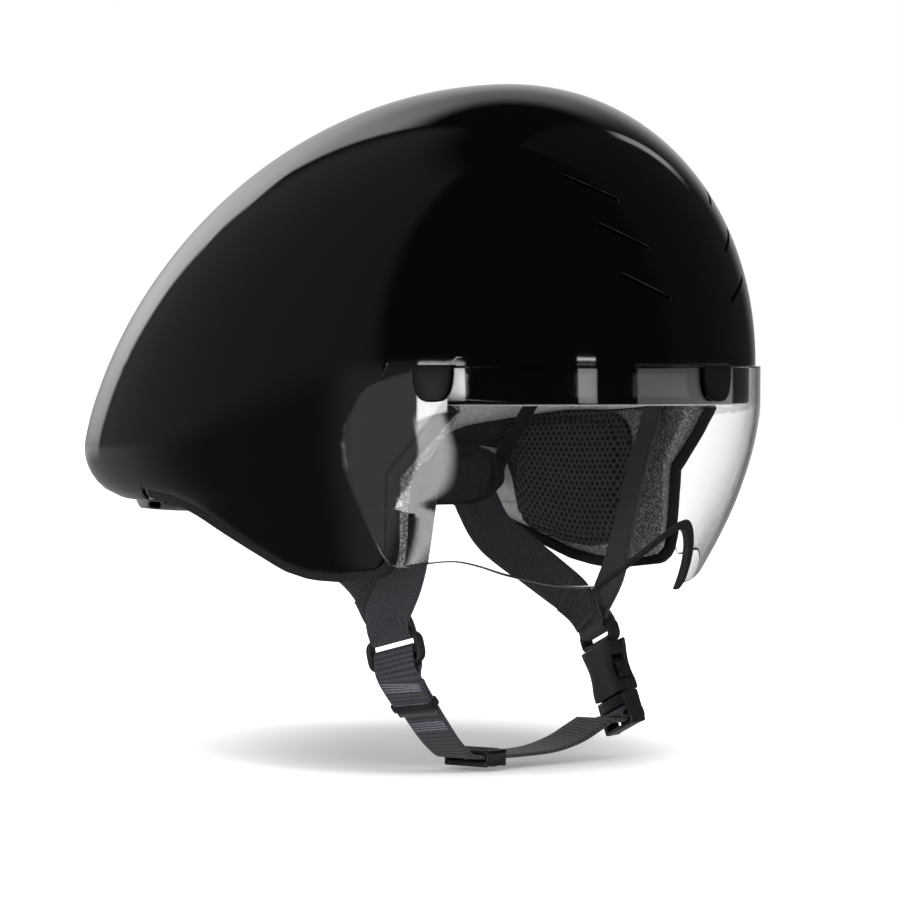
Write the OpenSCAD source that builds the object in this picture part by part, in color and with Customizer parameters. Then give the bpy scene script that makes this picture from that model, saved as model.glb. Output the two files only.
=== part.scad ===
// Time-trial cycling helmet with a long tail, a wrap-around visor held by magnets,
// a dial-fitted rear cradle and webbing straps with a side-release buckle.
// Frame: +Z up, the face looks along -Y, the wearer's left is +X.
// The origin is on the centre plane, above the middle of the head opening,
// level with the brow edge of the shell.

/* [Shell] */
// Height of the crown above the brow edge
crown_z = 114.9; // [110:0.5:120]
// From the origin to the forehead of the shell
front_reach = 104.2; // [102:0.1:107]
// From the origin to the tip of the tail
tail_reach = 219; // [208:1:230]
// Half of the shell's greatest width
half_width = 98; // [95.5:0.5:100.5]
// Thickness of the shell
shell_t = 2; // [1.5:0.1:2.2]
// How far the ear flaps hang below the brow edge
flap_drop = 81; // [78:0.5:84]
// How much each side tucks in at the bottom of the flap
flap_tuck = 3.5; // [2:0.5:5]
// Length of each slot of the brow vents
vent_l = 24; // [14:1:30]
// Height of each slot of the brow vents
vent_h = 1.8; // [1.2:0.1:3]

/* [Liner] */
// Gap between the liner and the shell
liner_gap = 0.3; // [0.3:0.05:0.6]
// From the shell's forehead to the head cavity
brow_wall = 14.2; // [12.2:0.1:17.2]
// From the origin to the back of the head cavity
cavity_r = 100; // [98:0.5:102]
// From the shell's side to the head cavity
side_wall = 18; // [16:0.5:20]
// From the shell's crown to the head cavity
crown_wall = 21.9; // [18:0.1:27]
// How far the cavity opens out behind the cradle
nape_recess = 27; // [24:1:32]
// Thickness of the comfort pads
pad_t = 5; // [3:0.5:5.5]

/* [Rim] */
// Height of the edge trim
trim_h = 4; // [3:0.5:5]
// Thickness of the edge trim
trim_t = 3.6; // [2.5:0.1:4]
// Height of the recessed band behind the visor's top edge
band_h = 15; // [13:0.5:16]
// Depth of the keel under the tail
keel_h = 5.9; // [4:0.1:9]

/* [Visor] */
// Thickness of the visor lens
lens_t = 1.5; // [1.2:0.1:2]
// Gap between the lens and the shell
lens_gap = 0.5; // [0.5:0.05:0.8]
// How far the lens draws in from brow to nose
lens_bow = 32; // [28:1:36]
// Depth of the lens below the brow edge at the nose corners
lens_drop = 87.5; // [84:0.5:89]
// Height of the nose notch
notch_h = 25.5; // [22:0.5:28]
// Half width of the nose notch
notch_w = 30; // [26:0.5:33]
// Radius of the holding magnets
magnet_r = 4; // [3:0.25:4.5]
// Thickness of the holding magnets
magnet_t = 1.5; // [1:0.1:1.6]

/* [Straps] */
// Width of the webbing
web_w = 19.5; // [16:0.5:20]
// Thickness of the webbing
web_t = 1.6; // [1.2:0.1:1.8]
// Depth of the strap rings below the brow edge
ring_drop = 109; // [105:0.5:114]
// Depth of the chin strap's lowest run below the brow edge
chin_drop = 159; // [156:0.5:163]
// Width of the buckle
buckle_w = 23; // [22.5:0.5:26]
// Thickness of the buckle
buckle_t = 9; // [8.5:0.5:11]

/* [Cradle] */
// Room behind the cradle, to the back of the head cavity
cradle_back = 6; // [5:0.5:10]
// Room beside the cradle's curve, to the side of the head cavity
cradle_side = 7; // [7:0.5:10]
// Thickness of the cradle's plastic
cradle_t = 2.5; // [1.8:0.1:3]
// Height of the middle of the dial
dial_z = -48; // [-50:0.5:-46]
// Radius of the dial knob
knob_r = 15; // [13:0.5:16]
// Length of the dial knob along its axis
knob_l = 8; // [6:0.5:10]
// Pitch of the teeth on the racks and the pinion
tooth_pitch = 3; // [2.8:0.1:3.2]

/* [Hidden] */

// Clearance between soft pieces and what carries them
seat = 0.3;
// Half lengths, half widths and height of the head cavity and of the cradle's curve
cavity_f = front_reach - brow_wall;
cavity_s = half_width - side_wall;
cavity_z = crown_z - crown_wall;
cradle_f = cavity_r - cradle_back;
cradle_s = cavity_s - cradle_side;
// Exponent of the dome's profile and of the tail's fall
dome_pow = 2.1;
fall_pow = 1.352;
// The tail is longest at this height and rolls under below it
tail_z = -35;
roll_in = 31;
roll_h = 21;
// How softly the front plan passes into the rear plan
blend = 0.42;
tail_taper = -0.043;
rows = 15;

// Stations along the flank, measured forward, where the rim is set out
flank = [52, 45, 40.5, 35, 28, 16, 14.6, 13, 9.5, 2, -9, -20, -31, -49, -61, -73, -83,
    -93, -108, -133, -136, -155, -174, -190, -203, -212, -217];
// Behind this the stations close up as the tail rolls under
tail_start = 119;
front_angles = [for (a = [0:9:54]) a];

// Height of the shell's edge at a distance forward of the origin
tail_edge = -55.3;
rim_line = [[-tail_reach, tail_edge], [-150, tail_edge], [-136, tail_edge + 0.8], [-133, -50.2],
    [-108, -52.6], [-91, -57.3], [-65, -67.1], [-49, -73.2], [-38, -77.6],
    [-24, 0.4 - flap_drop], [-9, -flap_drop], [9.5, 2 - flap_drop], [13, 4.5 - flap_drop],
    [14.6, -70], [16, -42], [30, -27], [40.5, -band_h], [45, 0]];
function edge_z(f) = lookup(f, rim_line);
// Ahead of this the liner steps in behind the visor's band
band_from = 20;
// The liner's lower edge above the foam of the ear flaps
liner_line = [[-93, -57], [-73, -31], [-49, -19], [40.5, -band_h]];
function liner_edge(f) =
    f > band_from ? -band_h : f <= -93 ? edge_z(f) : lookup(f, liner_line);

// The shell surface, set in by d
function shell_scale(z, d) =
    z <= 0 ? 1 : pow(max(0, 1 - pow(z / (crown_z - d), dome_pow)), 1 / dome_pow);
function front_at(z, d) = (front_reach - d) * shell_scale(z, d);
function width_at(z, d) =
    z > 0 ? (half_width - d) * shell_scale(z, d)
    : half_width - d - flap_tuck * pow(z / flap_drop, 2);
function tail_at(z, d) =
    z >= tail_z
    ? (tail_reach - d) * sqrt(max(0, 1 - pow((z - tail_z) / (crown_z - d - tail_z), fall_pow)))
    : tail_reach - d - roll_in * (1 - sqrt(1 - pow(min((tail_z - z) / roll_h, 0.98), 2)));
function plan_f(c, front, tail) =
    (front + tail) / 2 * c
    - (tail - front) / 2 * (sqrt(c * c + blend * blend) - sqrt(1 + blend * blend) + 1);
function plan_s(s, c, width) = width * s * (1 - tail_taper * pow(max(0, -c), 2));
function shell_pt(a, z, d) = [
    plan_s(sin(a), cos(a), width_at(z, d)),
    -plan_f(cos(a), front_at(z, d), tail_at(z, d)),
    z,
];

// Angle in plan of a point that lies f forward on a slice
function plan_angle(f, front, tail) =
    let (m = (front + tail) / 2, n = (tail - front) / 2,
        g = f + n * (1 - sqrt(1 + blend * blend)),
        k = m * m - n * n)
    acos(max(-1, min(1, (m * g + sqrt(max(0, m * m * g * g - k * (g * g
        - n * n * blend * blend)))) / k)));
function flank_pt(f, z, d) =
    shell_pt(plan_angle(f, front_at(z, d), tail_at(z, d)), z, d);

half_angles = concat(front_angles,
    [for (f = flank) plan_angle(f, front_reach, tail_reach)], [180]);
half_f = concat([for (a = front_angles) plan_f(cos(a), front_reach, tail_reach)],
    flank, [-tail_reach]);
last = len(half_angles) - 1;
angles = concat(half_angles, [for (i = [last - 1:-1:1]) 360 - half_angles[i]]);
stations = concat(half_f, [for (i = [last - 1:-1:1]) half_f[i]]);

// Angle of a column at a height: below the brow edge each column keeps to its station
function station(j, z, d) = stations[j] > -tail_start ? stations[j]
    : -tail_start + (stations[j] + tail_start) * (tail_at(z, d) - tail_start)
        / (tail_reach - tail_start);
function column(j, z, d) =
    let (a = z >= 0 || stations[j] > 49 ? min(angles[j], 360 - angles[j])
        : plan_angle(station(j, z, d), front_at(z, d), tail_at(z, d)))
    angles[j] > 180 ? 360 - a : a;
function column_pt(j, z, d) = shell_pt(column(j, z, d), z, d);

// The head cavity, set in by d
function nape(z) = nape_recess * max(0, min(1, (5 - z) / 25));
function cavity_scale(z) = z <= 0 ? 1 : sqrt(max(0, 1 - pow(z / cavity_z, 2)));
function cavity_pt(a, z, d) = [
    (cavity_s * cavity_scale(z) - d) * sin(a),
    -(cavity_reach(cos(a), z) * cavity_scale(z) - d) * cos(a),
    z,
];
function cavity_reach(side, z) = side > 0 ? cavity_f : cavity_r + nape(z);
function cavity_angle(f, z, d) =
    acos(max(-1, min(1, f / (cavity_reach(f, z) * cavity_scale(z) - d))));
function wall_pt(f, z, d) = cavity_pt(cavity_angle(f, z, d), z, d);

// Places of the straps, pads and cradle are typed for a head cavity with a half width of 80
// and a half length of 100, and move with it
fit_s = cavity_s / 80;
fit_r = cavity_r / 100;
function fitted(p) = [p[0] * fit_s, p[1] * (p[1] > 0 ? fit_r : 1), p[2]];
function fitted_all(points) = [for (p = points) fitted(p)];
function fitted_f(line) = [for (p = line) [p[0] * (p[0] < 0 ? fit_r : 1), p[1]]];
function ceiling_pt(f, s, d) =
    [s, -f, (cavity_z - d) * sqrt(1 - pow(f / (cavity_reach(f, cavity_z) - d), 2)
        - pow(s / (cavity_s - d), 2))];

function flat(lists) = [for (l = lists) for (p = l) p];
function mix(a, b, t) = a + (b - a) * t;
function unit(v) = v / norm(v);

// Solid between two grids of points that close round a pole
module dome(outer, inner, outer_pole, inner_pole) {
    r = len(outer);
    c = len(outer[0]);
    off = r * c;
    pole = 2 * off;
    points = concat(flat(outer), flat(inner), [outer_pole, inner_pole]);
    function at(i, j) = i * c + j % c;
    faces = concat(
        [for (i = [0:r - 2]) for (j = [0:c - 1]) [at(i, j), at(i + 1, j + 1), at(i, j + 1)]],
        [for (i = [0:r - 2]) for (j = [0:c - 1]) [at(i, j), at(i + 1, j), at(i + 1, j + 1)]],
        [for (i = [0:r - 2]) for (j = [0:c - 1])
            [off + at(i, j), off + at(i, j + 1), off + at(i + 1, j + 1)]],
        [for (i = [0:r - 2]) for (j = [0:c - 1])
            [off + at(i, j), off + at(i + 1, j + 1), off + at(i + 1, j)]],
        [for (j = [0:c - 1]) [at(0, j + 1), off + at(0, j), at(0, j)]],
        [for (j = [0:c - 1]) [at(0, j + 1), off + at(0, j + 1), off + at(0, j)]],
        [for (j = [0:c - 1]) [at(r - 1, j), pole, at(r - 1, j + 1)]],
        [for (j = [0:c - 1]) [off + at(r - 1, j + 1), pole + 1, off + at(r - 1, j)]]);
    polyhedron(points, faces);
}

// Solid between two open grids of points, from the lower row upwards
module patch(outer, inner) {
    r = len(outer);
    c = len(outer[0]);
    off = r * c;
    points = concat(flat(outer), flat(inner));
    function at(i, j) = i * c + j;
    faces = concat(
        [for (i = [0:r - 2]) for (j = [0:c - 2]) [at(i, j), at(i + 1, j + 1), at(i, j + 1)]],
        [for (i = [0:r - 2]) for (j = [0:c - 2]) [at(i, j), at(i + 1, j), at(i + 1, j + 1)]],
        [for (i = [0:r - 2]) for (j = [0:c - 2])
            [off + at(i, j), off + at(i, j + 1), off + at(i + 1, j + 1)]],
        [for (i = [0:r - 2]) for (j = [0:c - 2])
            [off + at(i, j), off + at(i + 1, j + 1), off + at(i + 1, j)]],
        [for (j = [0:c - 2]) [at(0, j + 1), off + at(0, j), at(0, j)]],
        [for (j = [0:c - 2]) [at(0, j + 1), off + at(0, j + 1), off + at(0, j)]],
        [for (j = [0:c - 2]) [at(r - 1, j), off + at(r - 1, j + 1), at(r - 1, j + 1)]],
        [for (j = [0:c - 2]) [at(r - 1, j), off + at(r - 1, j), off + at(r - 1, j + 1)]],
        [for (i = [0:r - 2]) [at(i, 0), off + at(i + 1, 0), at(i + 1, 0)]],
        [for (i = [0:r - 2]) [at(i, 0), off + at(i, 0), off + at(i + 1, 0)]],
        [for (i = [0:r - 2]) [at(i + 1, c - 1), off + at(i, c - 1), at(i, c - 1)]],
        [for (i = [0:r - 2]) [at(i + 1, c - 1), off + at(i + 1, c - 1), off + at(i, c - 1)]]);
    polyhedron(points, faces);
}

// Bar that joins a row of four-cornered sections
module bar(sections) {
    n = len(sections);
    function at(i, k) = i * 4 + k % 4;
    faces = concat(
        [[0, 1, 2], [0, 2, 3]],
        [[at(n - 1, 2), at(n - 1, 1), at(n - 1, 0)], [at(n - 1, 3), at(n - 1, 2), at(n - 1, 0)]],
        [for (i = [0:n - 2]) for (k = [0:3]) [at(i, k), at(i + 1, k), at(i + 1, k + 1)]],
        [for (i = [0:n - 2]) for (k = [0:3]) [at(i, k), at(i + 1, k + 1), at(i, k + 1)]]);
    polyhedron(flat(sections), faces);
}

// Smooth curve through a few chosen points, in steps between each pair
function smooth(p, steps) = concat(
    [for (i = [0:len(p) - 2]) for (k = [0:steps - 1])
        let (t = k / steps, a = p[max(0, i - 1)], b = p[i], c = p[i + 1],
            d = p[min(len(p) - 1, i + 2)])
        0.5 * (2 * b + (c - a) * t + (2 * a - 5 * b + 4 * c - d) * t * t
            + (3 * b - a - 3 * c + d) * t * t * t)],
    [p[len(p) - 1]]);

// Webbing along points, with the direction of its width at each point
module webbing(path, across, width = web_w, thick = web_t) {
    n = len(path);
    bar([for (i = [0:n - 1])
        let (tangent = unit(path[min(n - 1, i + 1)] - path[max(0, i - 1)]),
            normal = unit(cross(tangent, across[i])),
            side = unit(cross(normal, tangent)) * width / 2,
            lift = normal * thick / 2)
        [path[i] - side - lift, path[i] + side - lift, path[i] + side + lift,
            path[i] - side + lift]]);
}

module on_right() { mirror([1, 0, 0]) children(); }

// Shell

// Rows of the dome: the lowest few climb from the edge, the rest are level
low_rows = 4;
level_z = 6;
function row_z(base, top, i) =
    i < low_rows ? mix(base, level_z, i / low_rows)
    : level_z + (top - level_z) * sin(90 * (i - low_rows) / (rows - low_rows));

module vent_cut(f, s, z, turn, lean) {
    for (side = [-1, 1])
        translate([side * s, -f, z])
            rotate([0, 0, side * turn])
                rotate([0, -side * lean, 0])
                    cube([vent_l, 40, vent_h], center = true);
}

// Forward distance, distance from the centre plane and height of the three vents,
// in shares of the shell's reach, half width and height
vent_shares = [[0.7109, 0.3795, 0.6071], [0.8152, 0.3282, 0.4423], [0.8815, 0.2769, 0.2689]];
vents = [for (v = vent_shares) [v[0] * front_reach, v[1] * half_width, v[2] * crown_z]];
vent_turn = 32;
vent_lean = 24;

module outer_shell() {
    color([0.02, 0.02, 0.022])
    difference() {
        dome(
            [for (i = [0:rows - 1]) [for (j = [0:len(angles) - 1])
                column_pt(j, row_z(edge_z(stations[j]), crown_z, i), 0)]],
            [for (i = [0:rows - 1]) [for (j = [0:len(angles) - 1])
                column_pt(j, row_z(edge_z(stations[j]), crown_z - shell_t, i), shell_t)]],
            [0, 0, crown_z], [0, 0, crown_z - shell_t]);
        for (v = vents) vent_cut(v[0], v[1], v[2], vent_turn, vent_lean);
    }
}

band_d = shell_t + 0.6;
band_t = 2.4;
band_end = 28;

module front_band() {
    half = [for (i = [0:last]) if (half_f[i] >= band_end) half_angles[i]];
    n = len(half);
    around = concat([for (i = [n - 1:-1:1]) 360 - half[i]], half);
    color([0.03, 0.03, 0.03])
    difference() {
        patch(
            [for (z = [-band_h, -band_h / 2, -0.4]) [for (a = around) shell_pt(a, z, band_d)]],
            [for (z = [-band_h, -band_h / 2, -0.4]) [for (a = around)
                shell_pt(a, z, band_d + band_t)]]);
        at_band_magnets() cylinder(r = magnet_r, h = magnet_t, $fn = 48);
    }
}

// Where the three magnets sit: angle in plan, and their common height
magnet_z = -7;
tab_angle = 66.2;
module at_magnet(a, d, turn) {
    p = shell_pt(a, magnet_z, d);
    translate(p) rotate([0, 0, turn]) rotate([90, 0, 0]) children();
}

module at_band_magnets() {
    for (a = [-tab_angle, 0, tab_angle])
        at_magnet(a, band_d + magnet_t, atan2(front_reach * sin(a), half_width * cos(a)))
            children();
}

module shell_magnets() {
    color([0.6, 0.6, 0.62])
    at_band_magnets() cylinder(r = magnet_r - 0.05, h = magnet_t - 0.2, $fn = 48);
}

function liner_row(j, i, top) =
    i == 1 && stations[j] > band_from ? -0.4
    : i > 1 && i < low_rows && stations[j] > band_from ? level_z * i / low_rows
    : row_z(liner_edge(stations[j]), top, i);

liner_d = shell_t + liner_gap;

module eps_liner() {
    top = crown_z - liner_d;
    brow_d = band_d + band_t + liner_gap;
    color([0.93, 0.93, 0.92])
    difference() {
        dome(
            [for (i = [0:rows - 1]) [for (j = [0:len(angles) - 1])
                column_pt(j, liner_row(j, i, top),
                    i < 2 && stations[j] > band_from ? brow_d : liner_d)]],
            [for (i = [0:rows - 1]) [for (j = [0:len(angles) - 1])
                cavity_pt(angles[j], row_z(liner_edge(stations[j]), cavity_z, i), 0)]],
            [0, 0, top], [0, 0, cavity_z]);
        for (v = vents) vent_cut(v[0], v[1], v[2], vent_turn, vent_lean);
    }
}

// Rim

trim_end = -129;
trim_points = concat([for (f = flank) if (f <= 40.5 && f >= -108) [f, edge_z(f)]],
    [[trim_end, edge_z(trim_end)]]);

trim_d = seat * 2;
module rim_trim_solid() {
    n = len(trim_points);
    bar([for (i = [0:n - 1])
        let (p = trim_points[i],
            t = unit(trim_points[min(n - 1, i + 1)] - trim_points[max(0, i - 1)]),
            out = [-t[1], t[0]],
            near = p + out * seat,
            far = p + out * (trim_h + seat))
        [flank_pt(near[0], near[1], trim_d), flank_pt(far[0], far[1], trim_d),
            flank_pt(far[0], far[1], trim_d + trim_t),
            flank_pt(near[0], near[1], trim_d + trim_t)]]);
}

module rim_trim_left() { color([0.05, 0.05, 0.05]) rim_trim_solid(); }
module rim_trim_right() { color([0.05, 0.05, 0.05]) on_right() rim_trim_solid(); }

// Keel under the tail
keel_stations = [-126, -129, -133, -138, -143, -148, -152, -155];
keel_mid = -140.5;
keel_end = 155;
keel_d = trim_d + trim_t + seat * 3;
keel_side = [for (k = [-1:0.2:1]) k];
keel_belly = 1.6;
keel_top = tail_edge - seat * 1.5;
keel_base = tail_edge - keel_h + keel_belly;
function keel_foot(f) = lookup(abs(f - keel_mid), [[8, keel_base], [keel_end + keel_mid, keel_top - 0.9]]);
function keel_low(f, k) = keel_foot(f) - keel_belly * (1 - pow(abs(k), 4))
    * (1 - pow(abs((f - keel_mid) / (keel_mid + keel_end)), 3));
vent_f = -135;
vent_z = keel_base + 1.9;
oval_l = 4.6;
oval_r = 1.3;

module oval(grow, length) {
    for (side = [-1, 1])
        translate([0, side * oval_l, 0]) rotate([0, 90, 0])
            cylinder(r = oval_r + grow, h = length, center = true, $fn = 32);
    cube([length, oval_l * 2, (oval_r + grow) * 2], center = true);
}

module tail_undertray() {
    color([0.03, 0.03, 0.03])
    difference() {
        patch(
            [for (f = keel_stations) [for (k = keel_side)
                [flank_pt(f, keel_top, keel_d)[0] * k, -f, keel_top]]],
            [for (f = keel_stations) [for (k = keel_side)
                [flank_pt(f, keel_foot(f), keel_d)[0] * k, -f, keel_low(f, k)]]]);
        translate([0, -vent_f, vent_z]) oval(0, half_width * 2);
    }
}

module tail_vent_bezels() {
    w = flank_pt(vent_f, vent_z, keel_d)[0];
    color([0.02, 0.02, 0.02])
    for (side = [-1, 1])
        translate([side * (w - 9), -vent_f, vent_z])
            difference() {
                oval(-0.05, 14);
                oval(-0.5, 16);
            }
}

// Pads

module brow_pad() {
    around = [for (a = [-56:8:56]) a];
    function rise(a) = 12 - 6 * pow(a / 56, 2);
    color([0.08, 0.08, 0.08])
    patch(
        [for (t = [0, 0.35, 0.7, 1]) [for (a = around)
            cavity_pt(a, mix(-band_h + 1, rise(a), t), seat * 2)]],
        [for (t = [0, 0.35, 0.7, 1]) [for (a = around)
            cavity_pt(a, mix(-band_h + 1, rise(a), t), seat * 2 + pad_t)]]);
}

module crown_pad() {
    color([0.08, 0.08, 0.08])
    patch(
        [for (f = [60:-12:-60]) [for (s = [-15:7.5:15]) ceiling_pt(f, s, seat * 2)]],
        [for (f = [60:-12:-60]) [for (s = [-15:7.5:15]) ceiling_pt(f, s, seat * 2 + pad_t)]]);
}

pad_stations = [for (f = [4, -6, -18, -30, -40, -46, -52, -58, -66, -74, -82, -90])
    f * (f < 0 ? fit_r : 1)];
pad_top = fitted_f([[-90, -27], [-38, -19.5], [4, -18]]);
pad_low = fitted_f([[-90, -43], [-58, -44], [-52, -54], [-46, -66], [-31, -74], [-20, -76],
    [4, -76]]);

module side_pad_solid() {
    function pad_z(f, t) = mix(lookup(f, pad_low), lookup(f, pad_top), t);
    patch(
        [for (t = [0:0.25:1]) [for (f = pad_stations) wall_pt(f, pad_z(f, t), seat * 2)]],
        [for (t = [0:0.25:1]) [for (f = pad_stations)
            wall_pt(f, pad_z(f, t), seat * 2 + pad_t)]]);
}

module side_pad_left() { color([0.07, 0.07, 0.07]) side_pad_solid(); }
module side_pad_right() { color([0.07, 0.07, 0.07]) on_right() side_pad_solid(); }

foam_stations = [37, 33, 29, 24, 15.7, 14.3, 12.7, 9.5, 2, -9, -20, -31, -40, -49, -61, -73, -81, -88];
foam_d = liner_d + seat * 2;
function foam_edge(f) = edge_z(f + seat) + seat;

module ear_foam_solid() {
    function foam_z(f, t) = mix(foam_edge(f), liner_edge(f) - (f < -49 ? 2.4 : 0.7), t);
    patch(
        [for (t = [0:0.25:1]) [for (f = foam_stations)
            flank_pt(f, foam_z(f, t), foam_d)]],
        [for (t = [0:0.25:1]) [for (f = foam_stations)
            cavity_pt(plan_angle(f, front_reach, tail_reach), foam_z(f, t), 0)]]);
}

module ear_foam_left() { color([0.2, 0.2, 0.21]) ear_foam_solid(); }
module ear_foam_right() { color([0.2, 0.2, 0.21]) on_right() ear_foam_solid(); }

// Visor

function bow(z) = max(0, -z - band_h) / (lens_drop - band_h);
function lens_side(a, z) =
    let (c = max(0, cos(a)), p = 2 - 0.32 * pow(bow(z), 1.7),
        w = max(0, min(1, (c - 0.2) / 0.4)))
    mix(abs(sin(a)), pow(1 - pow(c, p), 1 / p), w * w * (3 - 2 * w));
// How far the lens stands out at its lower edge, clear of the ear flaps
lens_flare = 2.9;
function lens_pt(a, z, d) = [
    (width_at(z, -d) + lens_flare * pow(bow(z), 2)) * lens_side(a, z) * sign(sin(a)),
    -plan_f(cos(a), front_reach - lens_bow * pow(bow(z), 1.7) + d, tail_at(z, -d)),
    z,
];
lens_in = lens_gap;
lens_out = lens_gap + lens_t;

// Height at which the notch's half width is measured, and the angle at which the notch ends
notch_mid = -0.87 * lens_drop;
notch_p = 2 - 0.32 * pow(bow(notch_mid), 1.7);
notch_end = acos(pow(1 - pow(notch_w / (width_at(notch_mid, 0) + lens_flare * pow(bow(notch_mid), 2)),
    notch_p), 1 / notch_p));
fit_a = notch_end / 20.5;
function notch_z(a) =
    let (e = 0.12, r = abs(lens_pt(a, notch_mid, 0)[0]) / notch_w)
    -lens_drop + notch_h * (1 - (sqrt(r * r + e * e) - e) / (sqrt(1 + e * e) - e));

// Columns of the lens from the nose back: angle and height at its top and at its foot
notch_angles = [0, 2, 4.5, 8, 12, 16.5];
lens_foot = [[20.5 * fit_a, 0], [26, 0], [30, 0.3], [37.7, 2.1], [46.7, 5.5], [53.3, 9.1], [58.5, 10.9],
    [63, 10.4], [66, 9.5]];
lens_columns = concat(
    [for (a = notch_angles * fit_a) [a, 0, a, notch_z(a)]],
    [for (a = [20.5 * fit_a, 26, 30, 36, 42, 47, 52, 57, 60, 63, 66])
        [a, 0, a, lookup(a, lens_foot) - lens_drop]],
    [[69, -0.8, 69.5, 8.6 - lens_drop], [72.5, -2.8, 71.7, 8.6 - lens_drop],
        [75.7, -4.7, 73.5, 11.5 - lens_drop], [79.8, -8.6, 75.5, 16 - lens_drop],
        [81.3, -12.5, 78.5, -63], [82.4, -17.5, 80.6, -55], [83.5, -24, 81.9, -48],
        [84.1, -30.5, 83.4, -40]]);
lens_all = concat([for (i = [len(lens_columns) - 1:-1:1])
        [-lens_columns[i][0], lens_columns[i][1], -lens_columns[i][2], lens_columns[i][3]]],
    lens_columns);

module visor_lens() {
    color([0.75, 0.76, 0.78, 0.35])
    patch(
        [for (t = [0:0.125:1]) [for (k = lens_all)
            lens_pt(mix(k[2], k[0], t), mix(k[3], k[1], t), lens_out)]],
        [for (t = [0:0.125:1]) [for (k = lens_all)
            lens_pt(mix(k[2], k[0], t), mix(k[3], k[1], t), lens_in)]]);
}

edging_h = 2.6;
edging_lip = 0.6;

module nose_edging() {
    path = concat([-20, -18.5, -17, -15, -13, -11, -9, -7], [-4.5, -3, -2, -1, 0, 1, 2, 3, 4.5],
        [7, 9, 11, 13, 15, 17, 18.5, 20]);
    color([0.03, 0.03, 0.03])
    bar([for (a = path * fit_a)
        let (up = notch_z(a) - 0.15, low = up - edging_h)
        [lens_pt(a, up, lens_out + edging_lip), lens_pt(a, low, lens_out + edging_lip),
            lens_pt(a, low, lens_in - edging_lip), lens_pt(a, up, lens_in - edging_lip)]]);
}

tab_w = 15;
tab_h = 14;
tab_t = 2.3;

// Half of the tab's width as an angle in plan, at the brow and at the temples
tab_span_front = asin(tab_w / 2 / half_width);
tab_span_side = tab_span_front * half_width / front_reach * 0.92;

module visor_tab(a, span) {
    across = [-1, -0.94, -0.8, -0.6, -0.3, 0, 0.3, 0.6, 0.8, 0.94, 1];
    function foot(u) = -3 - (tab_h - 3) * pow(1 - pow(abs(u), 3), 0.45);
    d = lens_out + 0.15;
    color([0.03, 0.03, 0.03])
    difference() {
        patch(
            [for (t = [0:0.25:1]) [for (u = across)
                lens_pt(a + u * span, mix(foot(u), 0.4, t), d + tab_t)]],
            [for (t = [0:0.25:1]) [for (u = across)
                lens_pt(a + u * span, mix(foot(u), 0.4, t), d)]]);
        at_lens_magnet(a, d - 1) cylinder(r = magnet_r, h = magnet_t + 1, $fn = 48);
    }
}

module at_lens_magnet(a, d) {
    translate(lens_pt(a, magnet_z, d))
        rotate([0, 0, atan2(front_reach * sin(a), half_width * cos(a))])
            rotate([90, 0, 0]) children();
}

module visor_tab_centre() { visor_tab(0, tab_span_front); }
module visor_tab_left() { visor_tab(tab_angle, tab_span_side); }
module visor_tab_right() { visor_tab(-tab_angle, tab_span_side); }

module visor_magnets() {
    color([0.6, 0.6, 0.62])
    for (a = [-tab_angle, 0, tab_angle])
        at_lens_magnet(a, lens_out + 0.3)
            cylinder(r = magnet_r - 0.05, h = magnet_t - 0.3, $fn = 48);
}

// Straps, set out on the wearer's left

toe = 22;
ring_toe = 4;
ring_roll = -14;
function toed(angle) = [cos(angle), -sin(angle), 0];
function along(path, i) =
    unit(path[min(len(path) - 1, i + 1)] - path[max(0, i - 1)]);
function spread(path, from, to) = [for (i = [0:len(path) - 1])
    unit(cross(toed(mix(from, to, i / (len(path) - 1))), along(path, i)))];

// The left straps end at the head of the buckle, the right ones at the ring
left_drop = ring_drop - 7.5;
right_drop = ring_drop - 8.5;
left_front = smooth(fitted_all([[72, -19, -17.3], [69.5, -14.5, -38], [67, -7, -72],
    [66, 0, 7 - left_drop], [65.6, 2.6, -left_drop]]), 4);
right_front = smooth(fitted_all([[75.4, -19, -17.3], [71.5, -14.5, -38], [69, -7, -72],
    [66.8, 0, 7 - right_drop], [65.6, 2.6, -right_drop]]), 4);
left_rear = smooth(fitted_all([[64.2, 69, -58], [65.5, 61, -71], [66.8, 43, 19 - left_drop],
    [67.5, 19, 3.5 - left_drop]]), 4);
right_rear = smooth(fitted_all([[64, 68, -59.5], [66, 54, -70], [68, 36, -78],
    [69.2, 22, 14 - right_drop], [70.3, 14, 3 - right_drop]]), 4);

module front_strap_left() {
    color([0.13, 0.12, 0.14])
    webbing(left_front, spread(left_front, 34, 26));
}
module front_strap_right() {
    color([0.13, 0.12, 0.14])
    on_right() webbing(right_front, spread(right_front, 8, ring_toe));
}
module rear_strap_left() {
    color([0.13, 0.12, 0.14]) webbing(left_rear, spread(left_rear, -24, toe));
}
module rear_strap_right() {
    color([0.13, 0.12, 0.14]) on_right() webbing(right_rear, spread(right_rear, -24, ring_toe));
}

// Plates that hold the upper ends of the webbing against the liner
anchor_h = 7;
anchor_t = 2.4;
module strap_anchors() {
    color([0.04, 0.04, 0.04])
    for (side = [0, 1]) mirror([side, 0, 0]) {
        translate(fitted([75.5, -19, -11.6])) rotate([0, 0, -10])
            cube([anchor_t, web_w + 3, anchor_h], center = true);
        translate(fitted([63.8, 70, -48.4])) rotate([0, 0, 24])
            cube([anchor_t, web_w + 3, anchor_h], center = true);
    }
}

// Ring on the wearer's right, which the straps and the chin strap pass through
ring_w = web_w + 6;
ring_h = 14;
ring_t = 3;
slot_h = 4;
ring_at = fitted([-64.5, 4.2, -ring_drop - ring_h / 2 + 2.2]);

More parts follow.
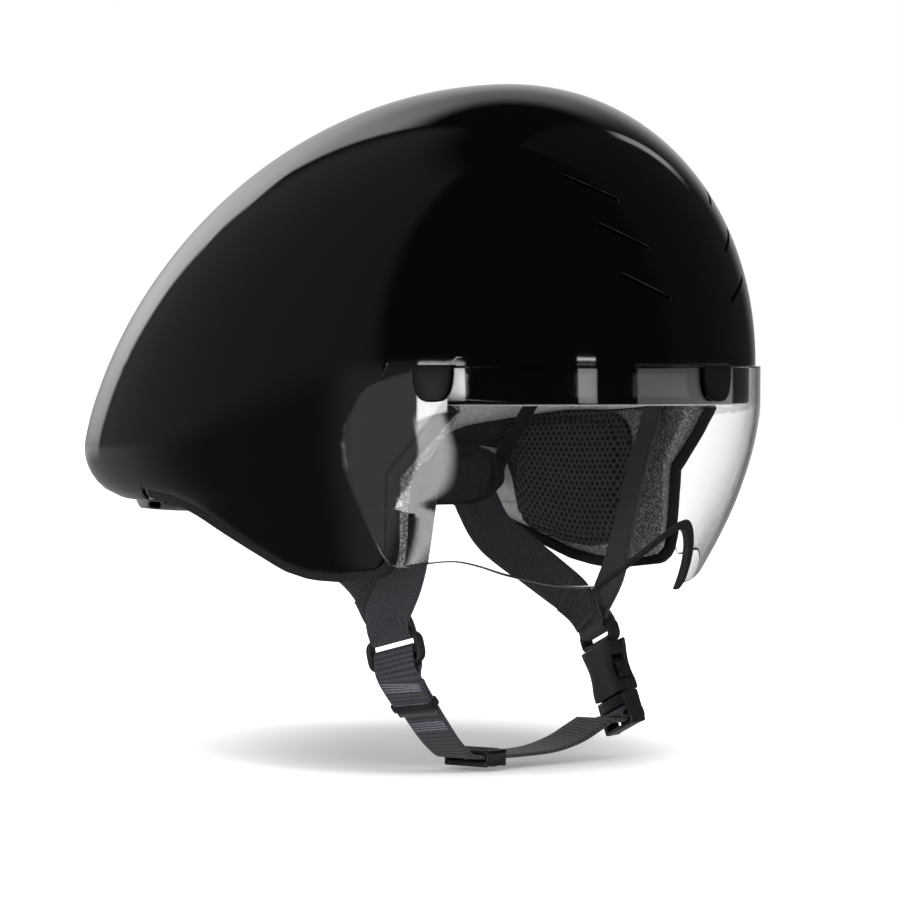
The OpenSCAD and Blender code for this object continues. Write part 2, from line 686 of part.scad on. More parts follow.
module at_ring() {
    translate(ring_at) rotate([ring_roll, 0, 0]) rotate([0, 0, 90 + ring_toe]) children();
}
ring_down = [0, sin(ring_roll), -cos(ring_roll)];
ring_across = [sin(ring_toe), -cos(ring_toe) * cos(ring_roll), -cos(ring_toe) * sin(ring_roll)];

module ring_right() {
    color([0.04, 0.04, 0.04])
    at_ring() difference() {
        cube([ring_w, ring_t, ring_h], center = true);
        for (z = [-1, 1]) translate([0, 0, z * (slot_h / 2 + 1.2)])
            cube([web_w + 1, ring_t * 2, slot_h], center = true);
    }
}

run_z = -chin_drop + web_t / 2;
chin_start = ring_at + ring_down * (ring_h / 2 + 2.4);
chin_route = concat(
    smooth(concat([chin_start], fitted_all([[-60.8, 2.6, -127], [-55.2, 2.4, -133.5],
        [-47.4, 1.5, -143], [-40, 0.6, -151.3], [-31, 0, run_z]])), 4),
    smooth(fitted_all([[4, 0, run_z], [20, -1.5, run_z + 0.6], [34, -4, run_z + 2.6],
        [46, -6.6, run_z + 6.6], [55.5, -9, run_z + 11.5]]), 4));

// Direction of the chin strap's width, turning from the ring's width to square across
function chin_across(i) = unit(mix(ring_across, [0, -1, 0], min(1, i / 20)));
function chin_out(i) = unit(cross(along(chin_route, i), chin_across(i)));

module chin_strap() {
    color([0.13, 0.12, 0.14])
    webbing(chin_route, [for (i = [0:len(chin_route) - 1]) chin_across(i)]);
}

// Spare end of the chin strap, folded back outside the ring
fold_gap = 0.5;
module strap_tail() {
    color([0.13, 0.12, 0.14])
    webbing([for (i = [0:10]) chin_route[i] + chin_out(i) * (web_t + fold_gap)],
        [for (i = [0:10]) chin_across(i)]);
}

// Elastic loop that holds the spare end down
keeper_t = 1;
module strap_keeper() {
    held = [for (i = [2:4]) chin_route[i] + chin_out(i) * (web_t + fold_gap) / 2];
    across = [for (i = [2:4]) chin_across(i)];
    inner_t = web_t * 2 + fold_gap + seat * 2;
    long = [held[0] * 2 - held[1], held[1], held[2] * 2 - held[1]];
    color([0.02, 0.02, 0.02])
    difference() {
        webbing(held, across, web_w + seat * 2 + keeper_t * 2, inner_t + keeper_t * 2);
        webbing(long, across, web_w + seat * 2, inner_t);
    }
}

slider_w = web_w + 3.5;
slider_l = 13;
slider_h = 7;
slider_x = -20 * fit_s;
module chin_slider() {
    color([0.03, 0.03, 0.03])
    translate([slider_x, 0, run_z]) difference() {
        cube([slider_l, slider_w, slider_h], center = true);
        cube([slider_l * 2, web_w + 0.8, web_t + 0.8], center = true);
        for (side = [-1, 1]) translate([side * 3.2, 0, -slider_h / 2])
            cube([2.6, web_w - 1, slider_h], center = true);
    }
}

// Buckle: u across it, v through it, w up its length from the mouth
buckle_at = fitted([65.5, -6, -138]);
buckle_lean = -20;
module at_buckle() {
    translate(buckle_at) rotate([buckle_lean, 0, 0]) rotate([0, 0, 90 - toe]) children();
}
body_l = 21;
head_l = 10;
mouth_w = buckle_w - 4.6;
mouth_t = buckle_t - 3.6;
window_low = 5;
window_high = 15.5;

module buckle_female() {
    color([0.03, 0.03, 0.03])
    at_buckle() difference() {
        union() {
            translate([-buckle_w / 2, -buckle_t / 2, seat / 2])
                cube([buckle_w, buckle_t, body_l]);
            translate([-ring_w / 2, -buckle_t / 4, body_l])
                cube([ring_w, buckle_t / 2, head_l]);
        }
        translate([-mouth_w / 2, -mouth_t / 2, -1]) cube([mouth_w, mouth_t, 18]);
        translate([-buckle_w, -mouth_t / 2, window_low])
            cube([buckle_w * 2, mouth_t, window_high - window_low]);
        translate([-web_w / 2 - 0.5, -buckle_t, body_l + 4])
            cube([web_w + 1, buckle_t * 2, slot_h - 0.4]);
    }
}

male_l = 14;
prong_u = 5.2;
prong_w = 1.3;
prong_r = 1;

module buckle_male() {
    base_w = web_w + 5;
    color([0.03, 0.03, 0.03])
    at_buckle() difference() {
        union() {
            translate([-base_w / 2, -buckle_t / 2 + 1, -male_l - seat / 2])
                cube([base_w, buckle_t - 2, male_l]);
            translate([-1.2, -1.8, -1]) cube([2.4, 3.6, 4]);
        }
        for (w = [-8, -12.6]) translate([-web_w / 2 - 0.4, -buckle_t, w])
            cube([web_w + 0.8, buckle_t * 2, 2.6]);
    }
}

// Springy prong, drawn on the +u side
module prong() {
    reach = buckle_w / 2 - 0.3;
    at_buckle_flat() {
        translate([prong_u, prong_w]) circle(r = prong_r, $fn = 32);
        polygon([[prong_u - prong_r, prong_w], [prong_u + prong_r, prong_w],
            [prong_u + 1.6, 5.2], [reach, 5.6], [reach - 0.4, 9], [reach - 3, 14],
            [prong_u + 1, 15.2], [prong_u - 0.4, 14], [prong_u - 0.6, 6]]);
    }
}
module at_buckle_flat() {
    rotate([90, 0, 0]) linear_extrude(height = mouth_t - 1, center = true) children();
}

module buckle_prong_rear() { color([0.03, 0.03, 0.03]) at_buckle() prong(); }
module buckle_prong_front() {
    color([0.03, 0.03, 0.03]) at_buckle() mirror([1, 0, 0]) prong();
}

// Cradle

pivot_f = -25 * fit_r;
pivot_z = 3;
pin_r = 2.5;
pin_fit = 0.1;
eye_r = 6;
eye_t = 2.2;
pin_s = wall_pt(pivot_f, pivot_z, 0)[0];
head_t = 1.2;

module arm_pins() {
    color([0.05, 0.05, 0.05])
    for (side = [0, 1]) mirror([side, 0, 0])
        translate([pin_s - 1.6, -pivot_f, pivot_z]) rotate([0, -90, 0]) {
            cylinder(r = eye_r, h = head_t, $fn = 48);
            cylinder(r = pin_r, h = head_t + eye_t + 1.2, $fn = 48);
            translate([0, 0, head_t + eye_t + 0.6]) cylinder(r = pin_r + 1.2, h = 0.8, $fn = 48);
        }
}

arm_w = 10;
arm_route = smooth([[pin_s - 1.6 - head_t - eye_t / 2 - seat, -pivot_f, pivot_z],
    fitted([69.6, 33, -6]), fitted([66.8, 40, -15]), fitted([64.4, 46.5, -26]),
    fitted([62.1, 52, -36]), fitted([60.7, 55.1, -43])], 4);

module cradle_arm_solid() {
    difference() {
        union() {
            webbing([for (i = [2:len(arm_route) - 1]) arm_route[i]],
                [for (i = [2:len(arm_route) - 1])
                    unit(cross(mix([0.93, 0.36, 0], [0.87, 0.49, 0],
                        i / (len(arm_route) - 1)), along(arm_route, i)))], arm_w, 1.8);
            translate([arm_route[0][0] + eye_t / 2, -pivot_f, pivot_z]) rotate([0, -90, 0])
                cylinder(r = eye_r, h = eye_t, $fn = 48);
        }
        translate([arm_route[0][0] + eye_t, -pivot_f, pivot_z]) rotate([0, -90, 0])
            cylinder(r = pin_r + pin_fit, h = eye_t * 2, $fn = 48);
    }
}

module cradle_arm_left() { color([0.04, 0.04, 0.04]) cradle_arm_solid(); }
module cradle_arm_right() { color([0.04, 0.04, 0.04]) on_right() cradle_arm_solid(); }

function cradle_pt(a, z, d) = [(cradle_s - d) * sin(a), -(cradle_f - d) * cos(a), z];
lobe_top = [[123, -42], [126, -36], [132, -33], [150, -33], [158, -36], [166, -40], [180, -41]];
lobe_low = [[123, -49], [126, -55], [132, -58.5], [148, -59], [158, -57], [166, -55.5],
    [180, -55]];
cradle_half = [123, 124.5, 126, 129, 132, 138, 144, 150, 154, 158, 162, 166, 173];

module cradle_shell() {
    around = concat(cradle_half, [180],
        [for (i = [len(cradle_half) - 1:-1:0]) 360 - cradle_half[i]]);
    function fold(a) = a > 180 ? 360 - a : a;
    color([0.04, 0.04, 0.04])
    difference() {
        patch(
            [for (t = [0:0.25:1]) [for (a = around)
                cradle_pt(a, mix(lookup(fold(a), lobe_low), lookup(fold(a), lobe_top), t), 0)]],
            [for (t = [0:0.25:1]) [for (a = around)
                cradle_pt(a, mix(lookup(fold(a), lobe_low), lookup(fold(a), lobe_top), t),
                    cradle_t)]]);
        for (side = [0, 1]) mirror([side, 0, 0]) for (a = [136, 147])
            translate(cradle_pt(a, -46, cradle_t / 2)) rotate([0, 0, 180 - a])
                rotate([90, 0, 0]) cylinder(r = 3.6, h = 12, center = true, $fn = 40);
    }
}

module cradle_pad_solid() {
    pad_half = [for (a = cradle_half) if (a > 124 && a < 163) a];
    lift = 3;
    patch(
        [for (t = [0:0.25:1]) [for (a = pad_half)
            cradle_pt(a, mix(lookup(a, lobe_low) + 1.5, lookup(a, lobe_top) - 1.5, t),
                cradle_t + seat)]],
        [for (t = [0:0.25:1]) [for (a = pad_half)
            cradle_pt(a, mix(lookup(a, lobe_low) + 1.5, lookup(a, lobe_top) - 1.5, t),
                cradle_t + seat + lift)]]);
}
module cradle_pad_left() { color([0.08, 0.08, 0.08]) cradle_pad_solid(); }
module cradle_pad_right() { color([0.08, 0.08, 0.08]) on_right() cradle_pad_solid(); }

// Dial: y back from the cradle, teeth on racks above and below the pinion
house_y = cradle_f + seat;
house_w = 66;
house_h = 20;
house_d = 5.2;
wall = 1.4;
cover_t = 1.6;
teeth = 10;
pitch_r = tooth_pitch * teeth / (2 * PI);
tooth_t = 2.4;
gear_y = house_y + wall + 0.5;
shaft_r = 2.4;

module housing_block(y, depth, w, h) {
    translate([-w / 2, y, dial_z - h / 2]) cube([w, depth, h]);
}

module dial_housing() {
    color([0.04, 0.04, 0.04])
    difference() {
        housing_block(house_y, house_d, house_w, house_h);
        housing_block(house_y + wall, house_d, house_w - wall * 2, house_h - wall * 2);
    }
}

module dial_cover() {
    color([0.05, 0.05, 0.05])
    difference() {
        housing_block(house_y + house_d, cover_t, house_w, house_h);
        translate([0, house_y, dial_z]) rotate([-90, 0, 0])
            cylinder(r = shaft_r + 0.08, h = house_d + cover_t + 1, $fn = 48);
    }
}

// One tooth from root radius to tip radius, centred on +y
module tooth(root, tip, root_half, tip_half) {
    polygon([[-root_half, root], [-tip_half, tip], [tip_half, tip], [root_half, root]]);
}

module dial_pinion() {
    color([0.7, 0.7, 0.68])
    translate([0, gear_y + tooth_t, dial_z]) rotate([90, 0, 0]) {
        cylinder(r = pitch_r - 0.95, h = tooth_t, $fn = 64);
        for (k = [0:teeth - 1]) rotate([0, 0, k * 360 / teeth])
            linear_extrude(height = tooth_t) tooth(pitch_r - 1.3, pitch_r + 0.6, 0.62, 0.38);
    }
}

module dial_knob() {
    y = house_y + house_d + cover_t + seat;
    flutes = 20;
    color([0.05, 0.05, 0.05])
    translate([0, y, dial_z]) rotate([-90, 0, 0]) {
        difference() {
            cylinder(r = knob_r, h = knob_l, $fn = 96);
            for (k = [0:flutes - 1]) rotate([0, 0, k * 360 / flutes])
                translate([knob_r + 0.9, 0, -1]) cylinder(r = 1.6, h = knob_l + 2, $fn = 24);
            translate([0, 0, knob_l - 1.2]) cylinder(r = knob_r - 4, h = 2, $fn = 64);
        }
        translate([0, 0, -(y - gear_y - tooth_t - 0.02)])
            cylinder(r = shaft_r, h = y - gear_y - tooth_t, $fn = 48);
    }
}

rack_l = 36;
rack_lap = 8;
rack_back = 2.6;
module rack_bar() {
    low = pitch_r + 0.8;
    count = floor(rack_l / tooth_pitch) - 1;
    translate([-rack_lap, low]) square([rack_l, rack_back]);
    for (k = [0:count]) translate([-rack_lap + (k + 0.9) * tooth_pitch - rack_shift, 0])
        polygon([[-0.7, low + 0.1], [-0.42, low - 1.45], [0.42, low - 1.45], [0.7, low + 0.1]]);
}
// Brings a gap of the rack over the middle of the pinion
rack_shift = (-rack_lap / tooth_pitch + 0.9 - 0.5 - floor(-rack_lap / tooth_pitch + 0.9 - 0.5))
    * tooth_pitch;

module rack_left() {
    color([0.7, 0.7, 0.68])
    translate([0, gear_y + tooth_t, dial_z]) rotate([90, 0, 0])
        linear_extrude(height = tooth_t) rack_bar();
}
module rack_right() {
    color([0.7, 0.7, 0.68])
    translate([0, gear_y + tooth_t, dial_z]) rotate([90, 0, 0])
        linear_extrude(height = tooth_t) rotate(180) rack_bar();
}

outer_shell();
front_band();
eps_liner();
rim_trim_left();
rim_trim_right();
tail_undertray();
tail_vent_bezels();
shell_magnets();
brow_pad();
crown_pad();
side_pad_left();
side_pad_right();
ear_foam_left();
ear_foam_right();
strap_anchors();
front_strap_left();
front_strap_right();
rear_strap_left();
rear_strap_right();
ring_right();
chin_strap();
strap_tail();
strap_keeper();
chin_slider();
buckle_female();
buckle_male();
buckle_prong_front();
buckle_prong_rear();
arm_pins();
cradle_arm_left();
cradle_arm_right();
cradle_shell();
cradle_pad_left();
cradle_pad_right();
dial_housing();
dial_cover();
dial_pinion();
dial_knob();
rack_left();
rack_right();
visor_lens();
visor_tab_centre();
visor_tab_left();
visor_tab_right();
visor_magnets();
nose_edging();
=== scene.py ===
import math

import bmesh
import bpy
import numpy as np
from mathutils import Matrix, Vector
from mathutils.bvhtree import BVHTree


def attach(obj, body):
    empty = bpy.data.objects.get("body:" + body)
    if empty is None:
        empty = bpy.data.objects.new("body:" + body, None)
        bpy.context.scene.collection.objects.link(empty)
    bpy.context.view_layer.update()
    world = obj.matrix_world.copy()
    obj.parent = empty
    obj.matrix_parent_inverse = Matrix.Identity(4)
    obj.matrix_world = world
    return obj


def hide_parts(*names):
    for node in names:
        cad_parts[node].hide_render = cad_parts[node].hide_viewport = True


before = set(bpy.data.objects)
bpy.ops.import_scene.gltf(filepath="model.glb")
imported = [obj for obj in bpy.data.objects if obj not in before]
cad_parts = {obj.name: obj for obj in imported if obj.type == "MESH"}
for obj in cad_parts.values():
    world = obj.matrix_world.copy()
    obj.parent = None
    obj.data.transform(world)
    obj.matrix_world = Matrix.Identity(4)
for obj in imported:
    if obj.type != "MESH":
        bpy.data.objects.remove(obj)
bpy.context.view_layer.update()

MM = 0.001

# Sizes of the part, in mm, as the part's source has them
CROWN, FRONT, TAIL, HALF = 114.9, 104.2, 219.0, 98.0
SHELL_T, FLAP_DROP, FLAP_TUCK = 2.0, 81.0, 3.5
LINER_GAP, CAV_F, CAV_R, CAV_S, CAV_Z, NAPE = 0.3, 90.0, 100.0, 80.0, 93.0, 27.0
PAD_T, TRIM_H, TRIM_T, BAND_H, BAND_T, KEEL_H = 5.0, 4.0, 3.6, 15.0, 2.4, 5.9
LENS_T, LENS_GAP, LENS_BOW, LENS_DROP, NOTCH_H, NOTCH_W = 1.5, 0.5, 32.0, 87.5, 25.5, 30.0
MAGNET_R, MAGNET_T, WEB_W, WEB_T = 4.0, 1.5, 19.5, 1.6
RING_DROP, CHIN_DROP, BUCKLE_W, BUCKLE_T = 109.0, 159.0, 23.0, 9.0
CRADLE_F, CRADLE_S, CRADLE_T, DIAL_Z, KNOB_R = 94.0, 73.0, 2.5, -48.0, 15.0
SEAT, DOME_POW, FALL_POW, TAIL_Z, ROLL_IN, ROLL_H = 0.3, 2.1, 1.352, -35.0, 31.0, 21.0
BLEND, TAPER, TAB_ANGLE, TOE = 0.42, -0.043, 66.2, 22.0
TAIL_START, LENS_FLARE, TAIL_EDGE = 119.0, 2.9, -55.3
LINER_D = SHELL_T + LINER_GAP
BAND_D = SHELL_T + 0.6
LENS_IN, LENS_OUT = LENS_GAP, LENS_GAP + LENS_T
# Height in the middle of the nose notch
NOTCH_MID = -0.87 * LENS_DROP

RIM_LINE = [(-219, -55.3), (-150, -55.3), (-136, -54.5), (-133, -50.2), (-108, -52.6), (-91, -57.3),
            (-65, -67.1), (-49, -73.2), (-38, -77.6), (-24, -80.6), (-9, -81), (9.5, -79), (13, -76.5),
            (14.6, -70), (16, -42), (30, -27), (40.5, -15), (45, 0)]
LINER_LINE = [(-93, -57), (-73, -31), (-49, -19), (40.5, -15)]


def table(line):
    xs, ys = zip(*line)
    return lambda f: np.interp(f, xs, ys)


edge_z = table(RIM_LINE)
liner_table = table(LINER_LINE)


def liner_edge(f):
    f = np.asarray(f, float)
    return np.where(f > 20, -BAND_H, np.where(f > -93, liner_table(f), edge_z(f)))


def rad(a):
    return np.radians(a)


def spread(*values):
    """The values as arrays of one shape."""
    return np.broadcast_arrays(*(np.asarray(v, float) for v in values))


def shell_scale(z, d):
    top = CROWN - d
    return np.where(z <= 0, 1.0, np.maximum(0, 1 - (np.maximum(z, 0) / top) ** DOME_POW) ** (1 / DOME_POW))


def front_at(z, d):
    return (FRONT - d) * shell_scale(z, d)


def width_at(z, d):
    return np.where(z > 0, (HALF - d) * shell_scale(z, d), HALF - d - FLAP_TUCK * (z / FLAP_DROP) ** 2)


def tail_at(z, d):
    z = np.asarray(z, float)
    rise = np.clip((z - TAIL_Z) / (CROWN - d - TAIL_Z), 0, 1)
    up = (TAIL - d) * np.sqrt(np.maximum(0, 1 - rise ** FALL_POW))
    under = TAIL - d - ROLL_IN * (1 - np.sqrt(1 - np.clip((TAIL_Z - z) / ROLL_H, 0, 0.98) ** 2))
    return np.where(z >= TAIL_Z, up, under)


def plan_f(c, front, tail):
    bend = np.sqrt(c * c + BLEND ** 2) - math.sqrt(1 + BLEND ** 2) + 1
    return (front + tail) / 2 * c - (tail - front) / 2 * bend


def shell_pt(a, z, d):
    a, z, d = spread(a, z, d)
    s, c = np.sin(rad(a)), np.cos(rad(a))
    x = width_at(z, d) * s * (1 - TAPER * np.maximum(0, -c) ** 2)
    return np.stack([x, -plan_f(c, front_at(z, d), tail_at(z, d)), z], -1)


def plan_angle(f, front, tail):
    m, n = (front + tail) / 2, (tail - front) / 2
    g = f + n * (1 - math.sqrt(1 + BLEND ** 2))
    k = m * m - n * n
    inside = np.maximum(0, m * m * g * g - k * (g * g - n * n * BLEND ** 2))
    return np.degrees(np.arccos(np.clip((m * g + np.sqrt(inside)) / k, -1, 1)))


def flank_pt(f, z, d):
    z = np.asarray(z, float)
    return shell_pt(plan_angle(f, front_at(z, d), tail_at(z, d)), z, d)


def cavity_size(ahead, z):
    """Half length of the cavity before or behind the middle, and its share at a height."""
    nape = NAPE * np.clip((5 - z) / 25, 0, 1)
    reach = np.where(ahead > 0, CAV_F, CAV_R + nape)
    scale = np.where(z <= 0, 1.0, np.sqrt(np.maximum(0, 1 - (np.maximum(z, 0) / CAV_Z) ** 2)))
    return reach, scale


def cavity_pt(a, z, d):
    a, z, d = spread(a, z, d)
    s, c = np.sin(rad(a)), np.cos(rad(a))
    reach, scale = cavity_size(c, z)
    return np.stack([(CAV_S * scale - d) * s, -(reach * scale - d) * c, z], -1)


def wall_pt(f, z, d):
    f, z, d = spread(f, z, d)
    reach, scale = cavity_size(f, z)
    a = np.degrees(np.arccos(np.clip(f / (reach * scale - d), -1, 1)))
    return cavity_pt(a, z, d)


def ceiling_pt(f, s, d):
    f, s, d = spread(f, s, d)
    reach = np.where(f > 0, CAV_F, CAV_R) - d
    return np.stack([s, -f, (CAV_Z - d) * np.sqrt(1 - (f / reach) ** 2 - (s / (CAV_S - d)) ** 2)], -1)


def bow(z):
    return np.maximum(0, -z - BAND_H) / (LENS_DROP - BAND_H)


def lens_power(z):
    """Power of the lens's curve as seen from above; a lower one is more pointed."""
    return 2 - 0.32 * bow(z) ** 1.7


def lens_half(z, d):
    """Half width of the lens."""
    return width_at(z, -d) + LENS_FLARE * bow(z) ** 2


def lens_pt(a, z, d):
    a, z, d = spread(a, z, d)
    s, c = np.sin(rad(a)), np.cos(rad(a))
    cc = np.maximum(0, c)
    p = lens_power(z)
    w = np.clip((cc - 0.2) / 0.4, 0, 1)
    w = w * w * (3 - 2 * w)
    side = np.abs(s) * (1 - w) + (1 - cc ** p) ** (1 / p) * w
    x = lens_half(z, d) * side * np.sign(s)
    y = -plan_f(c, FRONT - LENS_BOW * bow(z) ** 1.7 + d, tail_at(z, -d))
    return np.stack([x, y, z], -1)


def notch_z(a):
    e = 0.12
    r = np.abs(lens_pt(a, NOTCH_MID, 0)[..., 0]) / NOTCH_W
    return -LENS_DROP + NOTCH_H * (1 - (np.sqrt(r * r + e * e) - e) / (math.sqrt(1 + e * e) - e))


def mix(a, b, t):
    return a + (b - a) * t


def unit(v):
    v = np.asarray(v, float)
    return v / np.maximum(np.linalg.norm(v, axis=-1, keepdims=True), 1e-9)


def spline(points, steps):
    """Catmull-Rom curve through a few points."""
    p = np.asarray(points, float)
    out = []
    for i in range(len(p) - 1):
        a, b, c, d = p[max(0, i - 1)], p[i], p[i + 1], p[min(len(p) - 1, i + 2)]
        for k in range(steps):
            t = k / steps
            out.append(0.5 * (2 * b + (c - a) * t + (2 * a - 5 * b + 4 * c - d) * t * t
                              + (3 * b - a - 3 * c + d) * t ** 3))
    return np.array(out + [p[-1]])


def run_along(path):
    """Length of the path up to each of its points."""
    return np.append(0, np.cumsum(np.linalg.norm(np.diff(path, axis=0), axis=1)))


def resample(path, count):
    """The same curve with its points spread evenly along it."""
    path = np.asarray(path, float)
    run = run_along(path)
    at = np.linspace(0, run[-1], count)
    return np.stack([np.interp(at, run, path[:, k]) for k in range(path.shape[1])], -1)


# Materials

class Graph:
    """Node tree of a material or of the world."""

    def __init__(self, tree):
        self.nodes, self.links = tree.nodes, tree.links
        self.shader = tree.nodes.get("Principled BSDF")

    def add(self, kind, **values):
        node = self.nodes.new("ShaderNode" + kind)
        for key, value in values.items():
            setattr(node, key, value)
        return node

    def join(self, source, node, socket):
        self.links.new(source, node.inputs[socket])

    def math(self, operation, *values):
        node = self.add("Math", operation=operation)
        for k, value in enumerate(values):
            if isinstance(value, (int, float)):
                node.inputs[k].default_value = value
            else:
                self.join(value, node, k)
        return node.outputs[0]

    def times(self, first, *others):
        for other in others:
            first = self.math("MULTIPLY", first, other)
        return first

    def plus(self, first, *others):
        for other in others:
            first = self.math("ADD", first, other)
        return first

    def step(self, value, low, high, start=0.0, end=1.0):
        """Smooth step from start to end; it runs backwards where low is above high."""
        if low > high:
            low, high, start, end = high, low, end, start
        node = self.add("MapRange", interpolation_type="SMOOTHSTEP")
        self.join(value, node, 0)
        for k, number in enumerate((low, high, start, end)):
            node.inputs[k + 1].default_value = number
        return node.outputs[0]

    def ramp(self, source, stops):
        """Colour ramp; a stop is (place, colour or grey)."""
        node = self.add("ValToRGB")
        self.join(source, node, 0)
        elements = node.color_ramp.elements
        elements[0].position, elements[1].position = stops[0][0], stops[-1][0]
        for place, _ in stops[1:-1]:
            elements.new(place)
        for element, (_, colour) in zip(elements, stops):
            element.color = (colour, colour, colour, 1) if isinstance(colour, (int, float)) else (*colour, 1)
        return node.outputs[0]

    def feed(self, socket, source, stops):
        self.join(self.ramp(source, stops), self.shader, socket)

    def texture(self, kind, inputs, **values):
        tex = self.add(kind, **values)
        for key, value in inputs.items():
            tex.inputs[key].default_value = value
        self.join(self.add("TexCoord").outputs["Object"], tex, "Vector")
        return tex.outputs[0]

    def noise(self, scale, detail=3, rough=0.5):
        return self.texture("TexNoise", {"Scale": scale, "Detail": detail, "Roughness": rough})

    def split(self, output):
        """The numbers of one output of the texture coordinates."""
        node = self.add("SeparateXYZ")
        self.join(self.add("TexCoord").outputs[output], node, 0)
        return node.outputs

    def bump(self, height, strength, distance):
        node = self.add("Bump")
        node.inputs["Strength"].default_value = strength
        node.inputs["Distance"].default_value = distance
        self.join(height, node, "Height")
        self.join(node.outputs[0], self.shader, "Normal")

    def blend(self, share, first, second):
        node = self.add("MixShader")
        for k, source in enumerate((share, first.outputs[0], second.outputs[0])):
            self.join(source, node, k)
        return node

    def show(self, node):
        self.join(node.outputs[0], self.nodes["Material Output"], 0)


def new_material(name, colour, rough, **inputs):
    mat = bpy.data.materials.new(name)
    mat.use_nodes = True
    g = Graph(mat.node_tree)
    g.shader.inputs["Base Color"].default_value = (*colour, 1)
    g.shader.inputs["Roughness"].default_value = rough
    for key, value in inputs.items():
        g.shader.inputs[key.replace("_", " ")].default_value = value
    return mat, g


def shaded(colour, share, more=0):
    return tuple(min(1, v * share + more) for v in colour)


def make_gloss(name, colour, rough_low, rough_high, peel=0, **inputs):
    mat, g = new_material(name, colour, rough_low, **inputs)
    g.feed("Roughness", g.noise(60, 4), [(0.3, rough_low), (0.75, rough_high)])
    g.feed("Base Color", g.noise(25, 2), [(0.35, shaded(colour, 0.85)), (0.7, colour)])
    if peel:
        g.bump(g.noise(260, 2), peel, 0.0002)
    return mat


def make_moulded(name, colour, rough, grain=900, depth=0.18, **inputs):
    mat, g = new_material(name, colour, rough, **inputs)
    shade = g.noise(grain, 4)
    g.feed("Base Color", shade, [(0.35, shaded(colour, 0.8)), (0.7, shaded(colour, 1.35, 0.004))])
    g.feed("Roughness", g.noise(120), [(0.3, rough * 0.8), (0.8, min(1, rough * 1.25))])
    g.bump(shade, depth, 0.0002)
    return mat


def make_eps():
    """White foam of beads that are pressed together."""
    mat, g = new_material("bead_foam", (0.86, 0.86, 0.85), 0.75)
    edge = g.texture("TexVoronoi", {"Scale": 330, "Randomness": 1.0}, feature="DISTANCE_TO_EDGE")
    g.feed("Base Color", edge,
           [(0.0, (0.62, 0.62, 0.6)), (0.06, (0.84, 0.84, 0.83)), (0.3, (0.9, 0.9, 0.89))])
    g.bump(g.ramp(edge, [(0.0, 0), (0.12, 0.8), (0.5, 1)]), 0.35, 0.0004)
    return mat


def make_speckle(name, base, spot, rough, scale=1400):
    mat, g = new_material(name, base, rough)
    field = g.noise(scale, 6, 0.7)
    g.feed("Base Color", field, [(0.38, shaded(base, 0.6)), (0.5, base), (0.62, spot)])
    g.bump(field, 0.5, 0.0004)
    return mat


def make_mesh_fabric(name, colour, pitch):
    """Knitted mesh with rows of holes. UV is in mm."""
    mat, g = new_material(name, colour, 0.85, Sheen_Weight=0.04, Sheen_Roughness=0.4)
    u, v = g.split("UV")[:2]
    row = pitch * 0.78
    near = []
    for shift in (0.0, 0.5):
        du = g.math("PINGPONG", g.math("MULTIPLY_ADD", u, 1 / pitch, shift), 0.5)
        dv = g.times(g.math("PINGPONG", g.math("MULTIPLY_ADD", v, 0.5 / row, shift), 0.5), 2 * row / pitch)
        near.append(g.math("SQRT", g.plus(g.times(du, du), g.times(dv, dv))))
    hole = g.math("MINIMUM", *near)
    # Painted shade in the holes, painted highlight on the yarn between them
    g.feed("Base Color", hole, [(0.15, shaded(colour, 0.25)), (0.28, colour), (0.42, shaded(colour, 2.0))])
    g.bump(g.ramp(hole, [(0.14, 0), (0.3, 0.85), (0.42, 1)]), 0.9, 0.0009)
    return mat


def make_webbing(name, colour, across_ribs=False, rib=1.3, pick=1.5, wide_rib=2.1):
    """Flat webbing: ribs run along it, picks cross them. UV is in mm, u across and v along."""
    mat, g = new_material(name, colour, 0.62, Sheen_Weight=0.15)
    u, v = g.split("UV")[:2]

    def crest(rows):
        return g.math("SINE", g.times(g.math("PINGPONG", rows, 0.5), math.pi))
    ribs = g.times(u, 1 / rib)
    picks = crest(g.math("MULTIPLY_ADD", v, 1 / pick, g.times(g.math("FLOOR", ribs), 0.5)))
    height = g.times(crest(ribs), g.math("MULTIPLY_ADD", picks, 0.6, 0.4))
    if across_ribs:
        height = g.math("MULTIPLY_ADD", height, 0.3, g.times(crest(g.times(v, 1 / wide_rib)), 0.7))
    # Painted shade in the grooves between ribs and picks, painted highlight on their crests
    g.feed("Base Color", height, [(0.1, shaded(colour, 0.45)), (0.5, colour), (0.95, shaded(colour, 1.8))])
    g.bump(height, 0.8, 0.0005)
    return mat


def make_lens():
    mat, g = new_material("clear_lens", (0.945, 0.948, 0.955), 0.0, IOR=1.5, Transmission_Weight=1.0)
    g.feed("Roughness", g.noise(80), [(0.35, 0.0), (0.9, 0.02)])
    clear = g.add("BsdfTransparent")
    clear.inputs[0].default_value = (0.9, 0.9, 0.91, 1)
    g.show(g.blend(g.add("LightPath").outputs["Is Shadow Ray"], g.shader, clear))
    return mat


def make_metal():
    mat, g = new_material("plated_steel", (0.62, 0.62, 0.6), 0.3, Metallic=1.0)
    g.feed("Roughness", g.noise(500, 4), [(0.3, 0.2), (0.8, 0.38)])
    return mat


